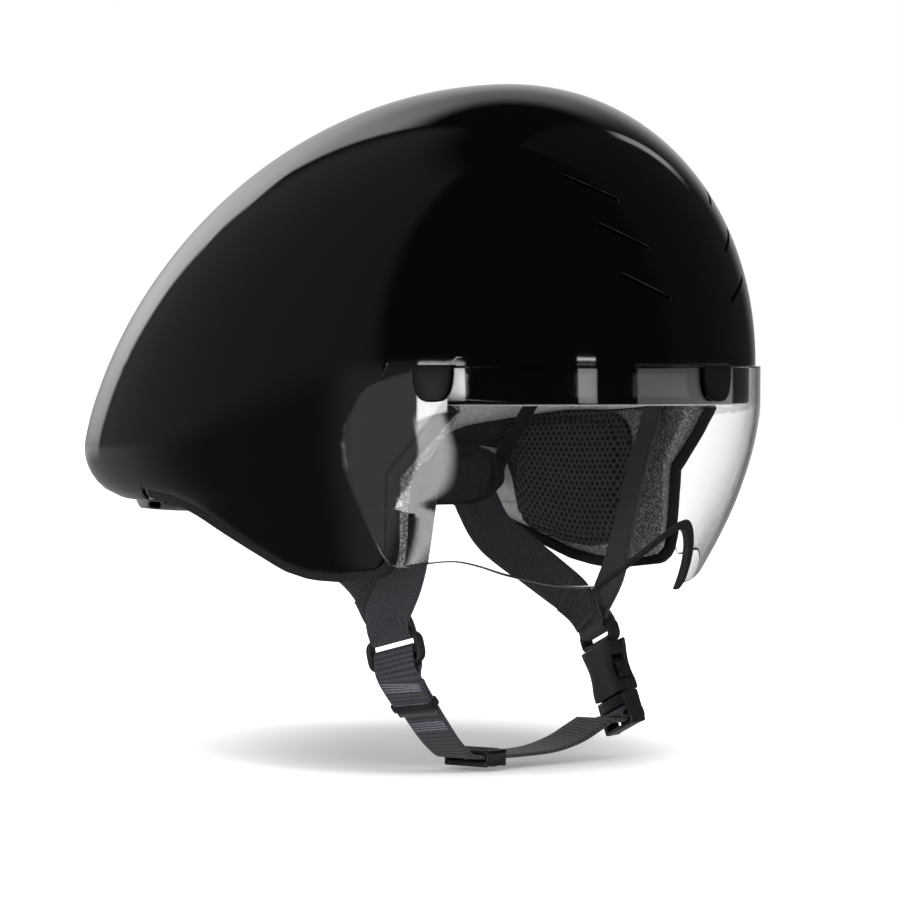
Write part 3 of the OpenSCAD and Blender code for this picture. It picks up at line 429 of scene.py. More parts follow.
WEB_COLOUR = (0.036, 0.032, 0.041)
GLOSS = make_gloss("shell_gloss", (0.0012, 0.0012, 0.0015), 0.03, 0.055, 0.012)
BAND = make_gloss("band_gloss", (0.0015, 0.0015, 0.002), 0.06, 0.1)
TAB = make_gloss("tab_gloss", (0.005, 0.005, 0.006), 0.3, 0.36, Specular_IOR_Level=0.15)
EPS = make_eps()
TRIM = make_speckle("trim_grain", (0.010, 0.010, 0.011), (0.026, 0.026, 0.027), 0.6)
FOAM = make_speckle("flap_foam", (0.15, 0.15, 0.153), (0.62, 0.62, 0.63), 0.85, 1000)
MESH = make_mesh_fabric("spacer_mesh", (0.03, 0.03, 0.031), 2.6)
WEBBING = make_webbing("webbing", WEB_COLOUR)
MOULDED = make_moulded("moulded_black", (0.014, 0.014, 0.015), 0.34)
SATIN = make_moulded("satin_black", (0.012, 0.012, 0.013), 0.26, 500, 0.06)
RUBBER = make_moulded("edging_rubber", (0.012, 0.012, 0.012), 0.5)
GEAR = make_moulded("gear_nylon", (0.55, 0.55, 0.52), 0.4, 400, 0.05)
METAL = make_metal()
RIBBED = make_webbing("webbing_ribbed", WEB_COLOUR, across_ribs=True)
THREAD = make_moulded("stitch_thread", (0.04, 0.036, 0.045), 0.6, 700, 0.1)
FELT = make_speckle("felt_pad", (0.02, 0.02, 0.021), (0.045, 0.045, 0.046), 0.9, 1600)
LIGHT = make_moulded("light_thread", (0.2, 0.2, 0.25), 0.5, 700, 0.1)
SHADE = make_moulded("slot_shade", (0.0015, 0.0015, 0.0015), 0.9, Specular_IOR_Level=0.0)
LENS = make_lens()

# Slot named for each material's pieces, where the piece names no other; add_piece looks it up but gives it to
# nothing
SLOT_OF = {mat.name: slot for slot, mats in (
    ("shell_gloss", (GLOSS, BAND)), ("tab_gloss", (TAB,)), ("liner_foam", (EPS,)), ("trim_matte", (TRIM,)),
    ("flap_foam", (FOAM,)), ("pad_mesh", (MESH, FELT)), ("webbing", (WEBBING, RIBBED, THREAD, LIGHT)),
    ("moulded_black", (MOULDED, SATIN)), ("edging_rubber", (RUBBER,)), ("gear_white", (GEAR,)),
    ("magnet_plate", (METAL,)), ("lens_clear", (LENS,))) for mat in mats}
SIDES = ((1, "left"), (-1, "right"))


# Mesh helpers. Points are in mm.

def add_piece(name, mesh, mat, *stands_for, body="helmet", slot=None, fill=None):
    obj = bpy.data.objects.new(name, mesh)
    bpy.context.scene.collection.objects.link(obj)
    mesh.materials.append(mat)
    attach(obj, body)
    if stands_for:
        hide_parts(*stands_for)
    slot or SLOT_OF[mat.name]
    return obj


def finished(bm, weld=False):
    """The mesh of a bmesh, its faces turned outwards where it is welded."""
    if weld:
        bmesh.ops.remove_doubles(bm, verts=bm.verts, dist=2e-6)
        bmesh.ops.recalc_face_normals(bm, faces=bm.faces)
    mesh = bpy.data.meshes.new("mesh")
    bm.to_mesh(mesh)
    bm.free()
    return mesh


def skin(points, wrap_u=False, wrap_v=False, caps=False, uv=None):
    """Mesh over a grid of points. wrap closes a direction, caps closes both ends of a tube."""
    points = np.asarray(points, float)
    rows, cols = points.shape[:2]
    bm = bmesh.new()
    verts = [bm.verts.new(p * MM) for p in points.reshape(-1, 3)]
    layer = None if uv is None else bm.loops.layers.uv.new("UVMap")
    for i in range(rows - (not wrap_u)):
        for j in range(cols - (not wrap_v)):
            ends = [(i, j), (i, j + 1), (i + 1, j + 1), (i + 1, j)]
            face = bm.faces.new([verts[a % rows * cols + b % cols] for a, b in ends])
            face.smooth = True
            if layer:
                for loop, (a, b) in zip(face.loops, ends):
                    loop[layer].uv = uv[a][b]
    if caps:
        for row in (0, rows - 1):
            bm.faces.new(verts[row * cols:(row + 1) * cols]).smooth = False
    return finished(bm, weld=True)


def slab(front, back, smooth_rim=True):
    """Closed solid between two grids of points that lie over each other."""
    bm = bmesh.new()
    near, far = ([[bm.verts.new(p * MM) for p in row] for row in np.asarray(grid, float)]
                 for grid in (front, back))
    rows, cols = len(near), len(near[0])
    for i in range(rows - 1):
        for j in range(cols - 1):
            bm.faces.new((near[i][j], near[i][j + 1], near[i + 1][j + 1], near[i + 1][j])).smooth = True
            bm.faces.new((far[i][j], far[i + 1][j], far[i + 1][j + 1], far[i][j + 1])).smooth = True
    loop = ([(0, j) for j in range(cols)] + [(i, cols - 1) for i in range(1, rows)]
            + [(rows - 1, j) for j in range(cols - 2, -1, -1)] + [(i, 0) for i in range(rows - 2, 0, -1)])
    for (i, j), (i2, j2) in zip(loop, loop[1:] + loop[:1]):
        bm.faces.new((near[i][j], far[i][j], far[i2][j2], near[i2][j2])).smooth = smooth_rim
    return finished(bm, weld=True)


def round_box(width, thick, radius, per_corner=4, along=0):
    """Closed section of a bar with rounded corners, as (across, through) pairs."""
    out = []
    u, v = width / 2 - radius, thick / 2 - radius
    for k, (sx, sy) in enumerate(((1, 1), (-1, 1), (-1, -1), (1, -1))):
        for i in range(per_corner + 1):
            a = math.radians(90 * k + 90 * i / per_corner)
            out.append((sx * u + radius * math.cos(a), sy * v + radius * math.sin(a)))
        if along and k in (0, 2):
            out += [(mix(sx * u, -sx * u, i / along), sy * thick / 2) for i in range(1, along)]
    return np.array(out)


def frames(path, across):
    """Unit directions along, across and out of a path."""
    tangent = unit(np.gradient(np.asarray(path, float), axis=0))
    normal = unit(np.cross(tangent, across))
    return tangent, unit(np.cross(normal, tangent)), normal


def ribbon(path, across, width=WEB_W, thick=WEB_T, radius=None, widths=None):
    """Bar of rounded section along a path, with UV in mm."""
    path = np.asarray(path, float)
    _, side, normal = frames(path, across)
    section = round_box(width, thick, radius or thick * 0.42, 3, 6)
    scale = np.ones(len(path)) if widths is None else np.asarray(widths)
    pts = (path[:, None] + side[:, None] * (section[None, :, :1] * scale[:, None, None])
           + normal[:, None] * section[None, :, 1:])
    uv = [[(u, run) for u in (*section[:, 0], section[0, 0])] for run in run_along(path)]
    return skin(pts, wrap_v=True, caps=True, uv=uv)


def shift(x, y, z):
    return Matrix.Translation(Vector((x, y, z)) * MM)


def spin(degrees, axis):
    return Matrix.Rotation(math.radians(degrees), 4, axis)


def add_box(bm, size):
    verts = bmesh.ops.create_cube(bm, size=1.0)["verts"]
    bmesh.ops.scale(bm, vec=Vector(size) * MM, verts=verts)
    return verts


def boxes(blocks):
    """Plain boxes in one mesh: (matrix, size)."""
    bm = bmesh.new()
    for matrix, size in blocks:
        bmesh.ops.transform(bm, matrix=matrix, verts=add_box(bm, size))
    return finished(bm)


def shade_by_angle(mesh, angle=32):
    """Sharp edges where faces meet steeply."""
    bm = bmesh.new()
    bm.from_mesh(mesh)
    for edge in bm.edges:
        if len(edge.link_faces) == 2 and edge.calc_face_angle(0) > math.radians(angle):
            edge.smooth = False
    bm.to_mesh(mesh)
    bm.free()
    return mesh


def subtract(obj, tool, mode="INDEX"):
    """Takes a mesh away from a piece. The mode says whose material the cut faces get."""
    cutter = bpy.data.objects.new("cutter", tool)
    bpy.context.scene.collection.objects.link(cutter)
    mod = obj.modifiers.new("cut", "BOOLEAN")
    mod.object, mod.operation, mod.solver, mod.material_mode = cutter, "DIFFERENCE", "EXACT", mode
    done = bpy.data.meshes.new_from_object(obj.evaluated_get(bpy.context.evaluated_depsgraph_get()))
    obj.modifiers.clear()
    old, obj.data = obj.data, done
    bpy.data.objects.remove(cutter)
    for mesh in (old, tool):
        bpy.data.meshes.remove(mesh)
    return done


# Shell

def rest_angle(f):
    return float(plan_angle(f, FRONT, TAIL))


FLANK_F = [52, 48, 45, 42.5, 40.5, 38, 35, 31.5, 28, 24, 20, 17, 16, 15.6, 15.2, 14.9, 14.6, 14.2, 13.6, 13,
           12.2, 11, 9.5, 6, 2, -3, -9, -14, -20, -26, -31, -37, -43, -49, -55, -61, -67, -73, -78, -83, -88,
           -93, -100, -108, -116, -124, -130, -133, -133.8, -134.6, -135.3, -136, -142, -149, -155, -162,
           -168, -174, -180, -185, -190, -195, -199, -203, -206.5, -209.5, -212, -214.5, -216.5, -218]
HALF_COLS = ([(a, None) for a in np.arange(0, 57, 2.0)] + [(None, f) for f in FLANK_F] + [(180.0, None)])


def columns():
    """(angle at the brow, station, side) of every column, once round from the front."""
    half = []
    for a, f in HALF_COLS:
        if a is None:
            half.append((rest_angle(f), f))
        else:
            half.append((a, float(plan_f(math.cos(math.radians(a)), FRONT, TAIL))))
    right = [(360 - a, f) for a, f in half[-2:0:-1]]
    return half + right


COLS = columns()
COL_A = np.array([a for a, _ in COLS])
COL_F = np.array([f for _, f in COLS])


def column_angle(z, d):
    """Angle of each column at a height: below the brow edge it keeps to its station."""
    z = np.asarray(z, float)
    tail = tail_at(z, d)
    f = np.where(COL_F > -TAIL_START, COL_F,
                 -TAIL_START + (COL_F + TAIL_START) * (tail - TAIL_START) / (TAIL - TAIL_START))
    at = plan_angle(f, front_at(z, d), tail)
    at = np.where(COL_A > 180, 360 - at, at)
    return np.where((z >= 0) | (COL_F > 49), COL_A, at)


def dome_rows(base, top, low=20, high=46):
    """Heights from each column's edge up to the crown: (row, column)."""
    level = 6.0
    rows = [mix(base, level, t) for t in np.linspace(0, 1, low, endpoint=False)]
    rows += [np.full(len(base), level + (top - level) * math.sin(math.radians(90 * t)))
             for t in np.linspace(0, 1, high)]
    return np.array(rows)


def dome_surface(base, d):
    return np.array([shell_pt(column_angle(z, d), z, d) for z in dome_rows(base, CROWN - d)])


VENTS = [(0.7109 * FRONT, 0.3795 * HALF, 0.6071 * CROWN), (0.8152 * FRONT, 0.3282 * HALF, 0.4423 * CROWN),
         (0.8815 * FRONT, 0.2769 * HALF, 0.2689 * CROWN)]
VENT_L, VENT_H, VENT_TURN, VENT_LEAN = 24.0, 1.8, 32.0, 24.0


def cut_slots(obj, depth=40.0):
    """Cuts the brow slots right through, and keeps the smooth shading of the uncut surface."""
    before = bmesh.new()
    before.from_mesh(obj.data)
    before.faces.ensure_lookup_table()
    before.normal_update()
    tree = BVHTree.FromBMesh(before)
    tool = boxes([(shift(side * s, -f, z) @ spin(side * VENT_TURN, "Z") @ spin(-side * VENT_LEAN, "Y"),
                   (VENT_L, depth, VENT_H)) for f, s, z in VENTS for side in (-1, 1)])
    tool.materials.append(SHADE)
    done = subtract(obj, tool, "TRANSFER")
    near, normals = {}, []
    for poly in done.polygons:
        poly.use_smooth = True
        for index in poly.vertices:
            if index not in near:
                hit, face_normal, face, _ = tree.find_nearest(done.vertices[index].co)
                total = Vector((0, 0, 0))
                for v in before.faces[face].verts:
                    total += v.normal * (1 / (1e-6 + (v.co - hit).length))
                near[index] = total.normalized(), face_normal
            normal, face_normal = near[index]
            normals.append(poly.normal.copy() if poly.normal.dot(face_normal) < 0.7 else normal)
    done.normals_split_custom_set(normals)
    before.free()


def make_shell():
    base = edge_z(COL_F)
    lip = []
    for k in range(5, 0, -1):
        a = math.pi * k / 6
        d, z = SHELL_T / 2 * (1 - math.cos(a)), base - 0.55 * math.sin(a)
        lip.append(shell_pt(column_angle(z, d), z, d))
    grid = np.concatenate([dome_surface(base, SHELL_T)[::-1], lip, dome_surface(base, 0.0)])
    cut_slots(add_piece("shell_skin", skin(grid, wrap_v=True), GLOSS, "outer_shell"))


def make_liner():
    base = liner_edge(COL_F)
    rows = dome_rows(base, CROWN - LINER_D)
    rise = np.where(COL_F[None] > 20, np.clip((rows + 0.4) / 4.0, 0, 1), 1.0)
    brow = BAND_D + BAND_T + LINER_GAP
    outer = np.array([shell_pt(column_angle(z, LINER_D), z, mix(brow, LINER_D, t))
                      for z, t in zip(rows, rise)])
    inner = np.array([cavity_pt(COL_A, z, 0) for z in dome_rows(base, CAV_Z)])
    lip = [mix(outer[0], inner[0], t) + np.array([0, 0, -0.6 * math.sin(math.pi * t)])
           for t in (0.04, 0.15, 0.5, 0.85, 0.96)]
    mesh = skin(np.concatenate([outer[::-1], lip, inner]), wrap_v=True)
    cut_slots(add_piece("foam_liner", mesh, EPS, "eps_liner"), 44.0)


def make_band():
    a = np.linspace(-rest_angle(28), rest_angle(28), 120)
    rows = [(-0.4, 0.5), (-1.0, 0), (-3, 0), (-7.5, 0), (-12, 0), (-14.2, 0), (-15.0, 0.5), (-15.0, BAND_T),
            (-7.5, BAND_T), (-0.4, BAND_T)]
    grid = np.array([shell_pt(a, z, BAND_D + d) for z, d in rows])
    add_piece("recessed_band", skin(np.swapaxes(grid, 0, 1), wrap_v=True, caps=True), BAND, "front_band")


TRIM_END = -129


def make_trim(side, name):
    stations = [f for f in FLANK_F if TRIM_END <= f <= 40.5] + [TRIM_END]
    path = resample([(f, float(edge_z(f))) for f in stations], 150)
    tangent = unit(np.gradient(path, axis=0))
    out = np.stack([-tangent[:, 1], tangent[:, 0]], -1)
    out = np.where(out[:, 1:] > 0, -out, out)
    start = SEAT + TRIM_H / 2
    section = round_box(TRIM_H, TRIM_T, 0.9, 4, 3)
    pts = np.array([[flank_pt(f + of * (start + h), z + oz * (start + h), 2 * SEAT + TRIM_T / 2 - t)
                     for h, t in section] for (f, z), (of, oz) in zip(path, out)])
    add_piece(f"edge_trim_{name}", skin(pts * (side, 1, 1), wrap_v=True, caps=True), TRIM, f"rim_trim_{name}")


# Visor

# FIT_A fits the angles of the notch's columns, which end at NOTCH_A, to the notch's width
NOTCH_P, NOTCH_SHARE = float(lens_power(NOTCH_MID)), NOTCH_W / float(lens_half(NOTCH_MID, 0))
NOTCH_A = 20.5
FIT_A = math.degrees(math.acos((1 - NOTCH_SHARE ** NOTCH_P) ** (1 / NOTCH_P))) / NOTCH_A
# Angle and height over the lowest edge, along the foot and up the back edge
LENS_FOOT = [(NOTCH_A * FIT_A, 0), (26, 0), (30, 0.3), (37.7, 2.1), (46.7, 5.5), (53.3, 9.1), (58.5, 10.9),
             (63, 10.4), (66, 9.5)]
# Angle and height at the top, angle at the foot, and its height over the lowest edge
LENS_BACK = [(66, 0, 66, 9.5), (69, -0.8, 69.5, 8.6), (72.5, -2.8, 71.7, 8.6), (75.7, -4.7, 73.5, 11.5),
             (79.8, -8.6, 75.5, 16), (81.3, -12.5, 78.5, 24.5), (82.4, -17.5, 80.6, 32.5),
             (83.5, -24, 81.9, 39.5), (84.1, -30.5, 83.4, 47.5)]


def lens_outline():
    """Columns of the lens: angle and height at its top, angle and height at its foot."""
    smooth = spline([(a / 10, z) for a, z in LENS_FOOT], 12)
    notch = np.array([0, 1, 2, 3.2, 4.5, 6, 8, 10, 12, 14.2, 16.5, 18.5]) * FIT_A
    cols = [(a, 0.0, a, float(notch_z(a))) for a in notch]
    cols += [(a, 0.0, a, float(np.interp(a / 10, smooth[:, 0], smooth[:, 1])) - LENS_DROP)
             for a in (NOTCH_A * FIT_A, 24.5, 27, 30, 33, 36, 39, 42, 44.5, 47, 49.5, 52, 54.5, 57, 58.5, 60,
                       61.5, 63, 64.5, 66)]
    cols += [tuple(row) for row in spline([(a, z, b, h - LENS_DROP) for a, z, b, h in LENS_BACK], 4)[1:]]
    cols = np.array(cols)
    return np.concatenate([cols[:0:-1] * (-1, 1, -1, 1), cols])


def make_lens_piece():
    cols = lens_outline()
    up = np.concatenate([[0, 0.004, 0.012], np.linspace(0.03, 0.97, 40), [0.988, 0.996, 1]])
    outer, inner = (np.array([lens_pt(mix(cols[:, 2], cols[:, 0], t), mix(cols[:, 3], cols[:, 1], t), d)
                              for t in up])
                    for d in (LENS_OUT, LENS_IN))
    rim = np.ones(outer.shape[:2] + (1,))
    rim[1:-1, 1:-1] = 0
    bevel = unit(outer - inner) * 0.3 * rim
    mesh = slab(outer - bevel, inner + bevel, smooth_rim=False)
    add_piece("clear_visor", mesh, LENS, "visor_lens", body="visor")


def make_edging():
    a = np.concatenate([np.linspace(-20.4, -3, 36), np.linspace(-2.6, 2.6, 15),
                        np.linspace(3, 20.4, 36)]) * FIT_A
    section = round_box(4.2, LENS_T + 1.7, 0.9, 4, 2)
    mid = (LENS_IN + LENS_OUT) / 2
    pts = np.array([[lens_pt(angle, z - 0.75 + h, mid + t) for h, t in section]
                    for angle, z in zip(a, notch_z(a))])
    add_piece("notch_edging", skin(pts, wrap_v=True, caps=True), RUBBER, "nose_edging", body="visor")


TAB_W, TAB_H, TAB_TH, TAB_MID = 15.0, 14.0, 2.3, -5.5
SPAN_FRONT = math.degrees(math.asin(TAB_W / 2 / HALF))
SPAN_SIDE = SPAN_FRONT * HALF / FRONT * 0.92
# Places from -1 to 1, closer together at both ends
EASED = np.sin(np.linspace(-90, 90, 41) * math.pi / 180)


def make_tab(name, angle, span):
    """Tab with a round foot, bevelled all round, that hooks over the lens's top edge."""
    foot = -3 - (TAB_H - 3) * (1 - np.abs(EASED) ** 3) ** 0.45
    away = np.concatenate([EASED, EASED[::-1]]) * span
    high = np.concatenate([foot, np.full(len(EASED), 0.4)]) - TAB_MID
    shape = [(0.05, 0.0), (0.86, 0.0), (0.97, 0.0), (1.0, 0.35), (1.0, TAB_TH - 0.8), (0.985, TAB_TH - 0.3),
             (0.955, TAB_TH - 0.05), (0.9, TAB_TH), (0.6, TAB_TH + 0.12), (0.3, TAB_TH + 0.16),
             (0.05, TAB_TH + 0.17)]
    grid = [lens_pt(angle + away * k, TAB_MID + high * k, LENS_OUT + 0.15 + depth) for k, depth in shape]
    mesh = skin(grid, wrap_v=True, caps=True)
    for poly in mesh.polygons:
        poly.use_smooth = True
    add_piece(f"holding_tab_{name}", mesh, TAB, f"visor_tab_{name}", body="visor")


# Helpers for the smaller pieces

def cushion(place, half_u, half_v, base, thick, lip=2.6, rim=0.35, corner=5.0, n=44):
    """Moulded pad on a carrier surface: thin bound edge, a step, then a crowned middle.
    place(s, t, d) gives a point for s and t from -1 to 1 at depth d. half_u and half_v are in mm."""
    turn = np.linspace(0, 2 * math.pi, n * 2, endpoint=False)
    cs, sn = np.cos(turn), np.sin(turn)
    square = 1 / (np.abs(cs) ** corner + np.abs(sn) ** corner) ** (1 / corner)
    short = min(half_u, half_v)
    tops, lows, uv = [], [], []
    for level in np.concatenate([[0.0], np.linspace(0.12, 0.8, 8), np.linspace(0.83, 1.0, 12)]):
        s, t = level * square * cs, level * square * sn
        away = (1 - level) * short
        step = np.clip((away - lip) / 2.2, 0, 1)
        step = step * step * (3 - 2 * step)
        crown = 0.82 + 0.18 * min(1, away / (short * 0.7))
        edge = math.sqrt(max(0, 1 - max(0, 1 - away / 0.6) ** 2))
        tops.append(place(s, t, base + thick * mix(rim * edge, crown, step)))
        lows.append(place(s, t, np.full_like(s, base)))
        marks = list(zip(s * half_u, t * half_v))
        uv.append(marks + marks[:1])
    return skin(np.array(tops + lows[::-1]), wrap_v=True, uv=uv + uv[::-1])


def smooth_all(bm, angle):
    for face in bm.faces:
        face.smooth = True
    return shade_by_angle(finished(bm), angle)


def bevel_boxes(blocks, radius=0.5):
    """Several bevelled blocks in one mesh: (matrix or centre, size, and the bevel where it has its own)."""
    bm = bmesh.new()
    for place, size, *own in blocks:
        made = add_box(bm, size)
        edges = list({e for v in made for e in v.link_edges})
        out = bmesh.ops.bevel(bm, geom=edges, offset=(own[0] if own else radius) * MM, segments=3,
                              affect="EDGES", profile=0.5)
        verts = list({v for f in out["faces"] for v in f.verts} | {v for v in made if v.is_valid})
        bmesh.ops.transform(bm, matrix=place if isinstance(place, Matrix) else shift(*place), verts=verts)
    return smooth_all(bm, 32)


def loop_ring(outer, inner, plane, thick, power=3.0, steps=16):
    """Closed ring between two outlines of (u, v) points, in a plane of (origin, U, V, N)."""
    origin, u_dir, v_dir, n_dir = (np.asarray(v, float) for v in plane)
    turn = np.linspace(0, 2 * math.pi, steps, endpoint=False)
    cs, sn = (np.sign(w) * np.abs(w) ** (2 / power) for w in (np.cos(turn), np.sin(turn)))
    uv = mix(inner[:, None], outer[:, None], (0.5 + 0.5 * cs)[None, :, None])
    grid = origin + uv[..., :1] * u_dir + uv[..., 1:] * v_dir + (thick / 2 * sn)[None, :, None] * n_dir
    return skin(grid, wrap_u=True, wrap_v=True)


def squircle(a, b, power, count=72):
    turn = np.linspace(0, 2 * math.pi, count, endpoint=False)
    c, s = np.cos(turn), np.sin(turn)
    r = 1 / (np.abs(c) ** power + np.abs(s) ** power) ** (1 / power)
    return np.stack([a * r * c, b * r * s], -1)


def stadium(half, radius, count=48):
    turn = np.linspace(0, 2 * math.pi, count, endpoint=False)
    c = np.cos(turn)
    middle = half * np.sign(c) * np.minimum(1, np.abs(c) * 8)
    return np.stack([middle + radius * c, radius * np.sin(turn)], -1)


def prism(outline, plane, n0, n1, bevel=0.25):
    """Solid over a flat outline, with bevelled ends."""
    origin, u_dir, v_dir, n_dir = (np.asarray(v, float) for v in plane)
    bm = bmesh.new()
    low, high = ([bm.verts.new((origin + u_dir * u + v_dir * v + n_dir * n) * MM) for u, v in outline]
                 for n in (n0, n1))
    caps = [bm.faces.new(low), bm.faces.new(high)]
    for k in range(len(outline)):
        bm.faces.new((low[k - 1], low[k], high[k], high[k - 1]))
    bmesh.ops.recalc_face_normals(bm, faces=bm.faces)
    edges = list({e for f in caps for e in f.edges})
    bmesh.ops.bevel(bm, geom=edges, offset=bevel * MM, segments=2, affect="EDGES", profile=0.5)
    return smooth_all(bm, 28)


def turned(profile, plane, steps=64, radius_at=None):
    """Solid of revolution: profile is (radius, height) pairs, from the axis to the axis."""
    origin, u_dir, v_dir, n_dir = (np.asarray(v, float) for v in plane)
    turn = np.linspace(0, 2 * math.pi, steps, endpoint=False)
    grid = []
    for radius, height in profile:
        r = radius_at(radius, turn) if radius_at else np.full(steps, max(radius, 1e-4))
        u, v = (r * np.cos(turn))[:, None], (r * np.sin(turn))[:, None]
        grid.append(origin + u_dir * u + v_dir * v + n_dir * height)
    return shade_by_angle(skin(grid, wrap_v=True), 40)


def joined(meshes):
    """One mesh from several."""
    bm = bmesh.new()
    for mesh in meshes:
        bm.from_mesh(mesh)
        bpy.data.meshes.remove(mesh)
    return finished(bm)


def rods(places, radius, half, steps=40):
    bm = bmesh.new()
    for matrix in places:
        made = bmesh.ops.create_cone(bm, cap_ends=True, segments=steps, radius1=radius * MM,
                                     radius2=radius * MM, depth=2 * half * MM)
        bmesh.ops.transform(bm, matrix=matrix, verts=made["verts"])
    return finished(bm)


def turn_x(v, degrees):
    c, s = math.cos(math.radians(degrees)), math.sin(math.radians(degrees))
    return np.array([v[0], c * v[1] - s * v[2], s * v[1] + c * v[2]])


def turn_z(v, degrees):
    c, s = math.cos(math.radians(degrees)), math.sin(math.radians(degrees))
    return np.array([c * v[0] - s * v[1], s * v[0] + c * v[1], v[2]])


def matrix_of(*columns):
    """Matrix with these directions, and the last one as its place."""
    m = Matrix.Identity(4)
    for k, column in enumerate(columns):
        for i in range(3):
            m[i][k] = column[i] * (MM if k == 3 else 1)
    return m


def side_plane(x, y, z, out):
    return np.array([x, y, z]), (0, 1, 0), (0, 0, 1), (out, 0, 0)


# Keel and pads

KEEL_D = 2 * SEAT + TRIM_T + 3 * SEAT
KEEL_TOP = TAIL_EDGE - 1.5 * SEAT
KEEL_BELLY = 1.6
KEEL_BASE = TAIL_EDGE - KEEL_H + KEEL_BELLY
KEEL_FRONT, KEEL_MID, KEEL_BACK = -126, -140.5, -162
KEEL_VENT_Y = 135


def make_keel():
    top, low = [], []
    for f in np.linspace(KEEL_FRONT, KEEL_BACK, 36):
        x = (f - KEEL_MID) / (KEEL_FRONT - KEEL_MID if f > KEEL_MID else KEEL_BACK - KEEL_MID)
        foot = mix(KEEL_BASE, KEEL_TOP - 0.9, max(0, (x * 14.5 - 8) / 6.5) ** 1.5)
        wt, wl = (flank_pt(f, z, KEEL_D)[0] for z in (KEEL_TOP, foot))
        top.append([(wt * k, -f, KEEL_TOP) for k in EASED])
        low.append([(wl * k, -f, foot - KEEL_BELLY * (1 - abs(k) ** 4) * (1 - x ** 3)) for k in EASED])
    obj = add_piece("tail_keel", slab(top, low), GLOSS, "tail_undertray")
    z = KEEL_BASE + 1.9
    subtract(obj, boxes([(shift(0, KEEL_VENT_Y, z), (196, 9.2, 2.6))]))
    ends = [shift(0, KEEL_VENT_Y + s * 4.6, z) @ spin(90, "Y") for s in (-1, 1)]
    shade_by_angle(subtract(obj, rods(ends, 1.3, 98, 24)), 40)
    w = float(flank_pt(-KEEL_VENT_Y, z, KEEL_D)[0]) - 9
    rings = [loop_ring(stadium(4.6, 1.24), stadium(4.6, 0.8), side_plane(side * w, KEEL_VENT_Y, z, side),
                       14, 6, 12)
             for side in (-1, 1)]
    add_piece("keel_vent_sleeves", joined(rings), TAB, "tail_vent_bezels")


def make_pads():
    def brow(s, t, d):
        a = s * 56
        return cavity_pt(a, mix(1 - BAND_H, 12 - 6 * (a / 56) ** 2, (t + 1) / 2), d)

    def crown(s, t, d):
        return ceiling_pt(60 * s, 15 * t, d)
    top = table([(-90, -31), (-84, -29.5), (-73, -25), (-47, -20.5), (-30, -18.5), (4, -17)])
    low = table([(-90, -35), (-67, -34), (-61, -35), (-56, -39), (-52.5, -50), (-50, -65), (-46, -69),
                 (-31, -74), (-20, -76), (4, -76)])

    def wall(side):
        def place(s, t, d):
            f = mix(-90, 4, (s + 1) / 2)
            return wall_pt(f, mix(low(f), top(f), (t + 1) / 2), d) * (side, 1, 1)
        return place
    pads = [("brow_cushion", "brow_pad", brow, 86, 12.5, 7, 90),
            ("crown_cushion", "crown_pad", crown, 66, 15, 4, 70)]
    pads += [(f"side_cushion_{name}", f"side_pad_{name}", wall(side), 48, 25, 5, 90) for side, name in SIDES]
    for name, node, place, half_u, half_v, corner, n in pads:
        mesh = cushion(place, half_u, half_v, 2 * SEAT, PAD_T, corner=corner, n=n)
        add_piece(name, mesh, MESH, node, fill=0.7)


def make_flap_foam():
    """Grey foam in the flaps, set back at the front on the right as in the photo; white foam behind it."""
    stations = np.concatenate([np.linspace(37, 16, 14), np.linspace(15.4, 9, 12), np.linspace(7, -88, 50)])
    for part, mat, fs in (("foam", FOAM, stations[stations > -51]),
                          ("backing", EPS, stations[stations < -50])):
        for side, name in SIDES:
            outer, inner = [], []
            for t in np.linspace(0, 1, 14):
                z = mix(edge_z(fs + SEAT) + SEAT, liner_edge(fs) - np.where(fs < -49, 2.4, 0.7), t)
                lift = 0.8 * max(0, 1 - t / 0.12) ** 2
                back = 9 * np.clip((-36 - z) / 10, 0, 1) * np.clip((fs + 12) / 26, 0, 1)
                f = fs if side > 0 else fs - back
                outer.append(flank_pt(f, z, LINER_D + 2 * SEAT + lift) * (side, 1, 1))
                inner.append(cavity_pt(plan_angle(f, FRONT, TAIL), z, -lift) * (side, 1, 1))
            nodes = [f"ear_foam_{name}"] if part == "foam" else []
            add_piece(f"flap_{part}_{name}", slab(outer, inner), mat, *nodes, fill=1.0)


# Ring, webbing and slider on the wearer's right, buckle on the left

RING_ROLL, RING_TOE = -14.0, 4.0
RING_W, RING_H, RING_T = WEB_W + 6, 14.0, 3.0
RUN_Z = -CHIN_DROP + WEB_T / 2


def local_frame(origin, lean, turn):
    """Origin and directions of a part that is turned about z, then about x."""
    return (np.asarray(origin, float), *(turn_x(turn_z(v, turn), lean) for v in np.eye(3)))


RING = local_frame((-64.5, 4.2, -RING_DROP - RING_H / 2 + 2.2), RING_ROLL, 90 + RING_TOE)
BUCKLE = local_frame((65.5, -6, -138), -20, 90 - TOE)


def at(frame_at, u, n, w):
    """Point of a local frame: u across, n through, w up."""
    o, u_dir, n_dir, w_dir = frame_at
    return o + u_dir * u + n_dir * n + w_dir * w


def in_plane(frame_at):
    """The local frame with its plane across u and w, for rings and prisms."""
    o, u_dir, n_dir, w_dir = frame_at
    return o, u_dir, w_dir, n_dir


def toed_across(side, angle, along):
    """Direction of the webbing's width where it runs along and is toed in by an angle."""
    toed = np.array([math.cos(math.radians(angle)), -math.sin(math.radians(angle)), 0])
    return unit(np.cross(toed, unit(np.multiply(along, (side, 1, 1))))) * (side, 1, 1)


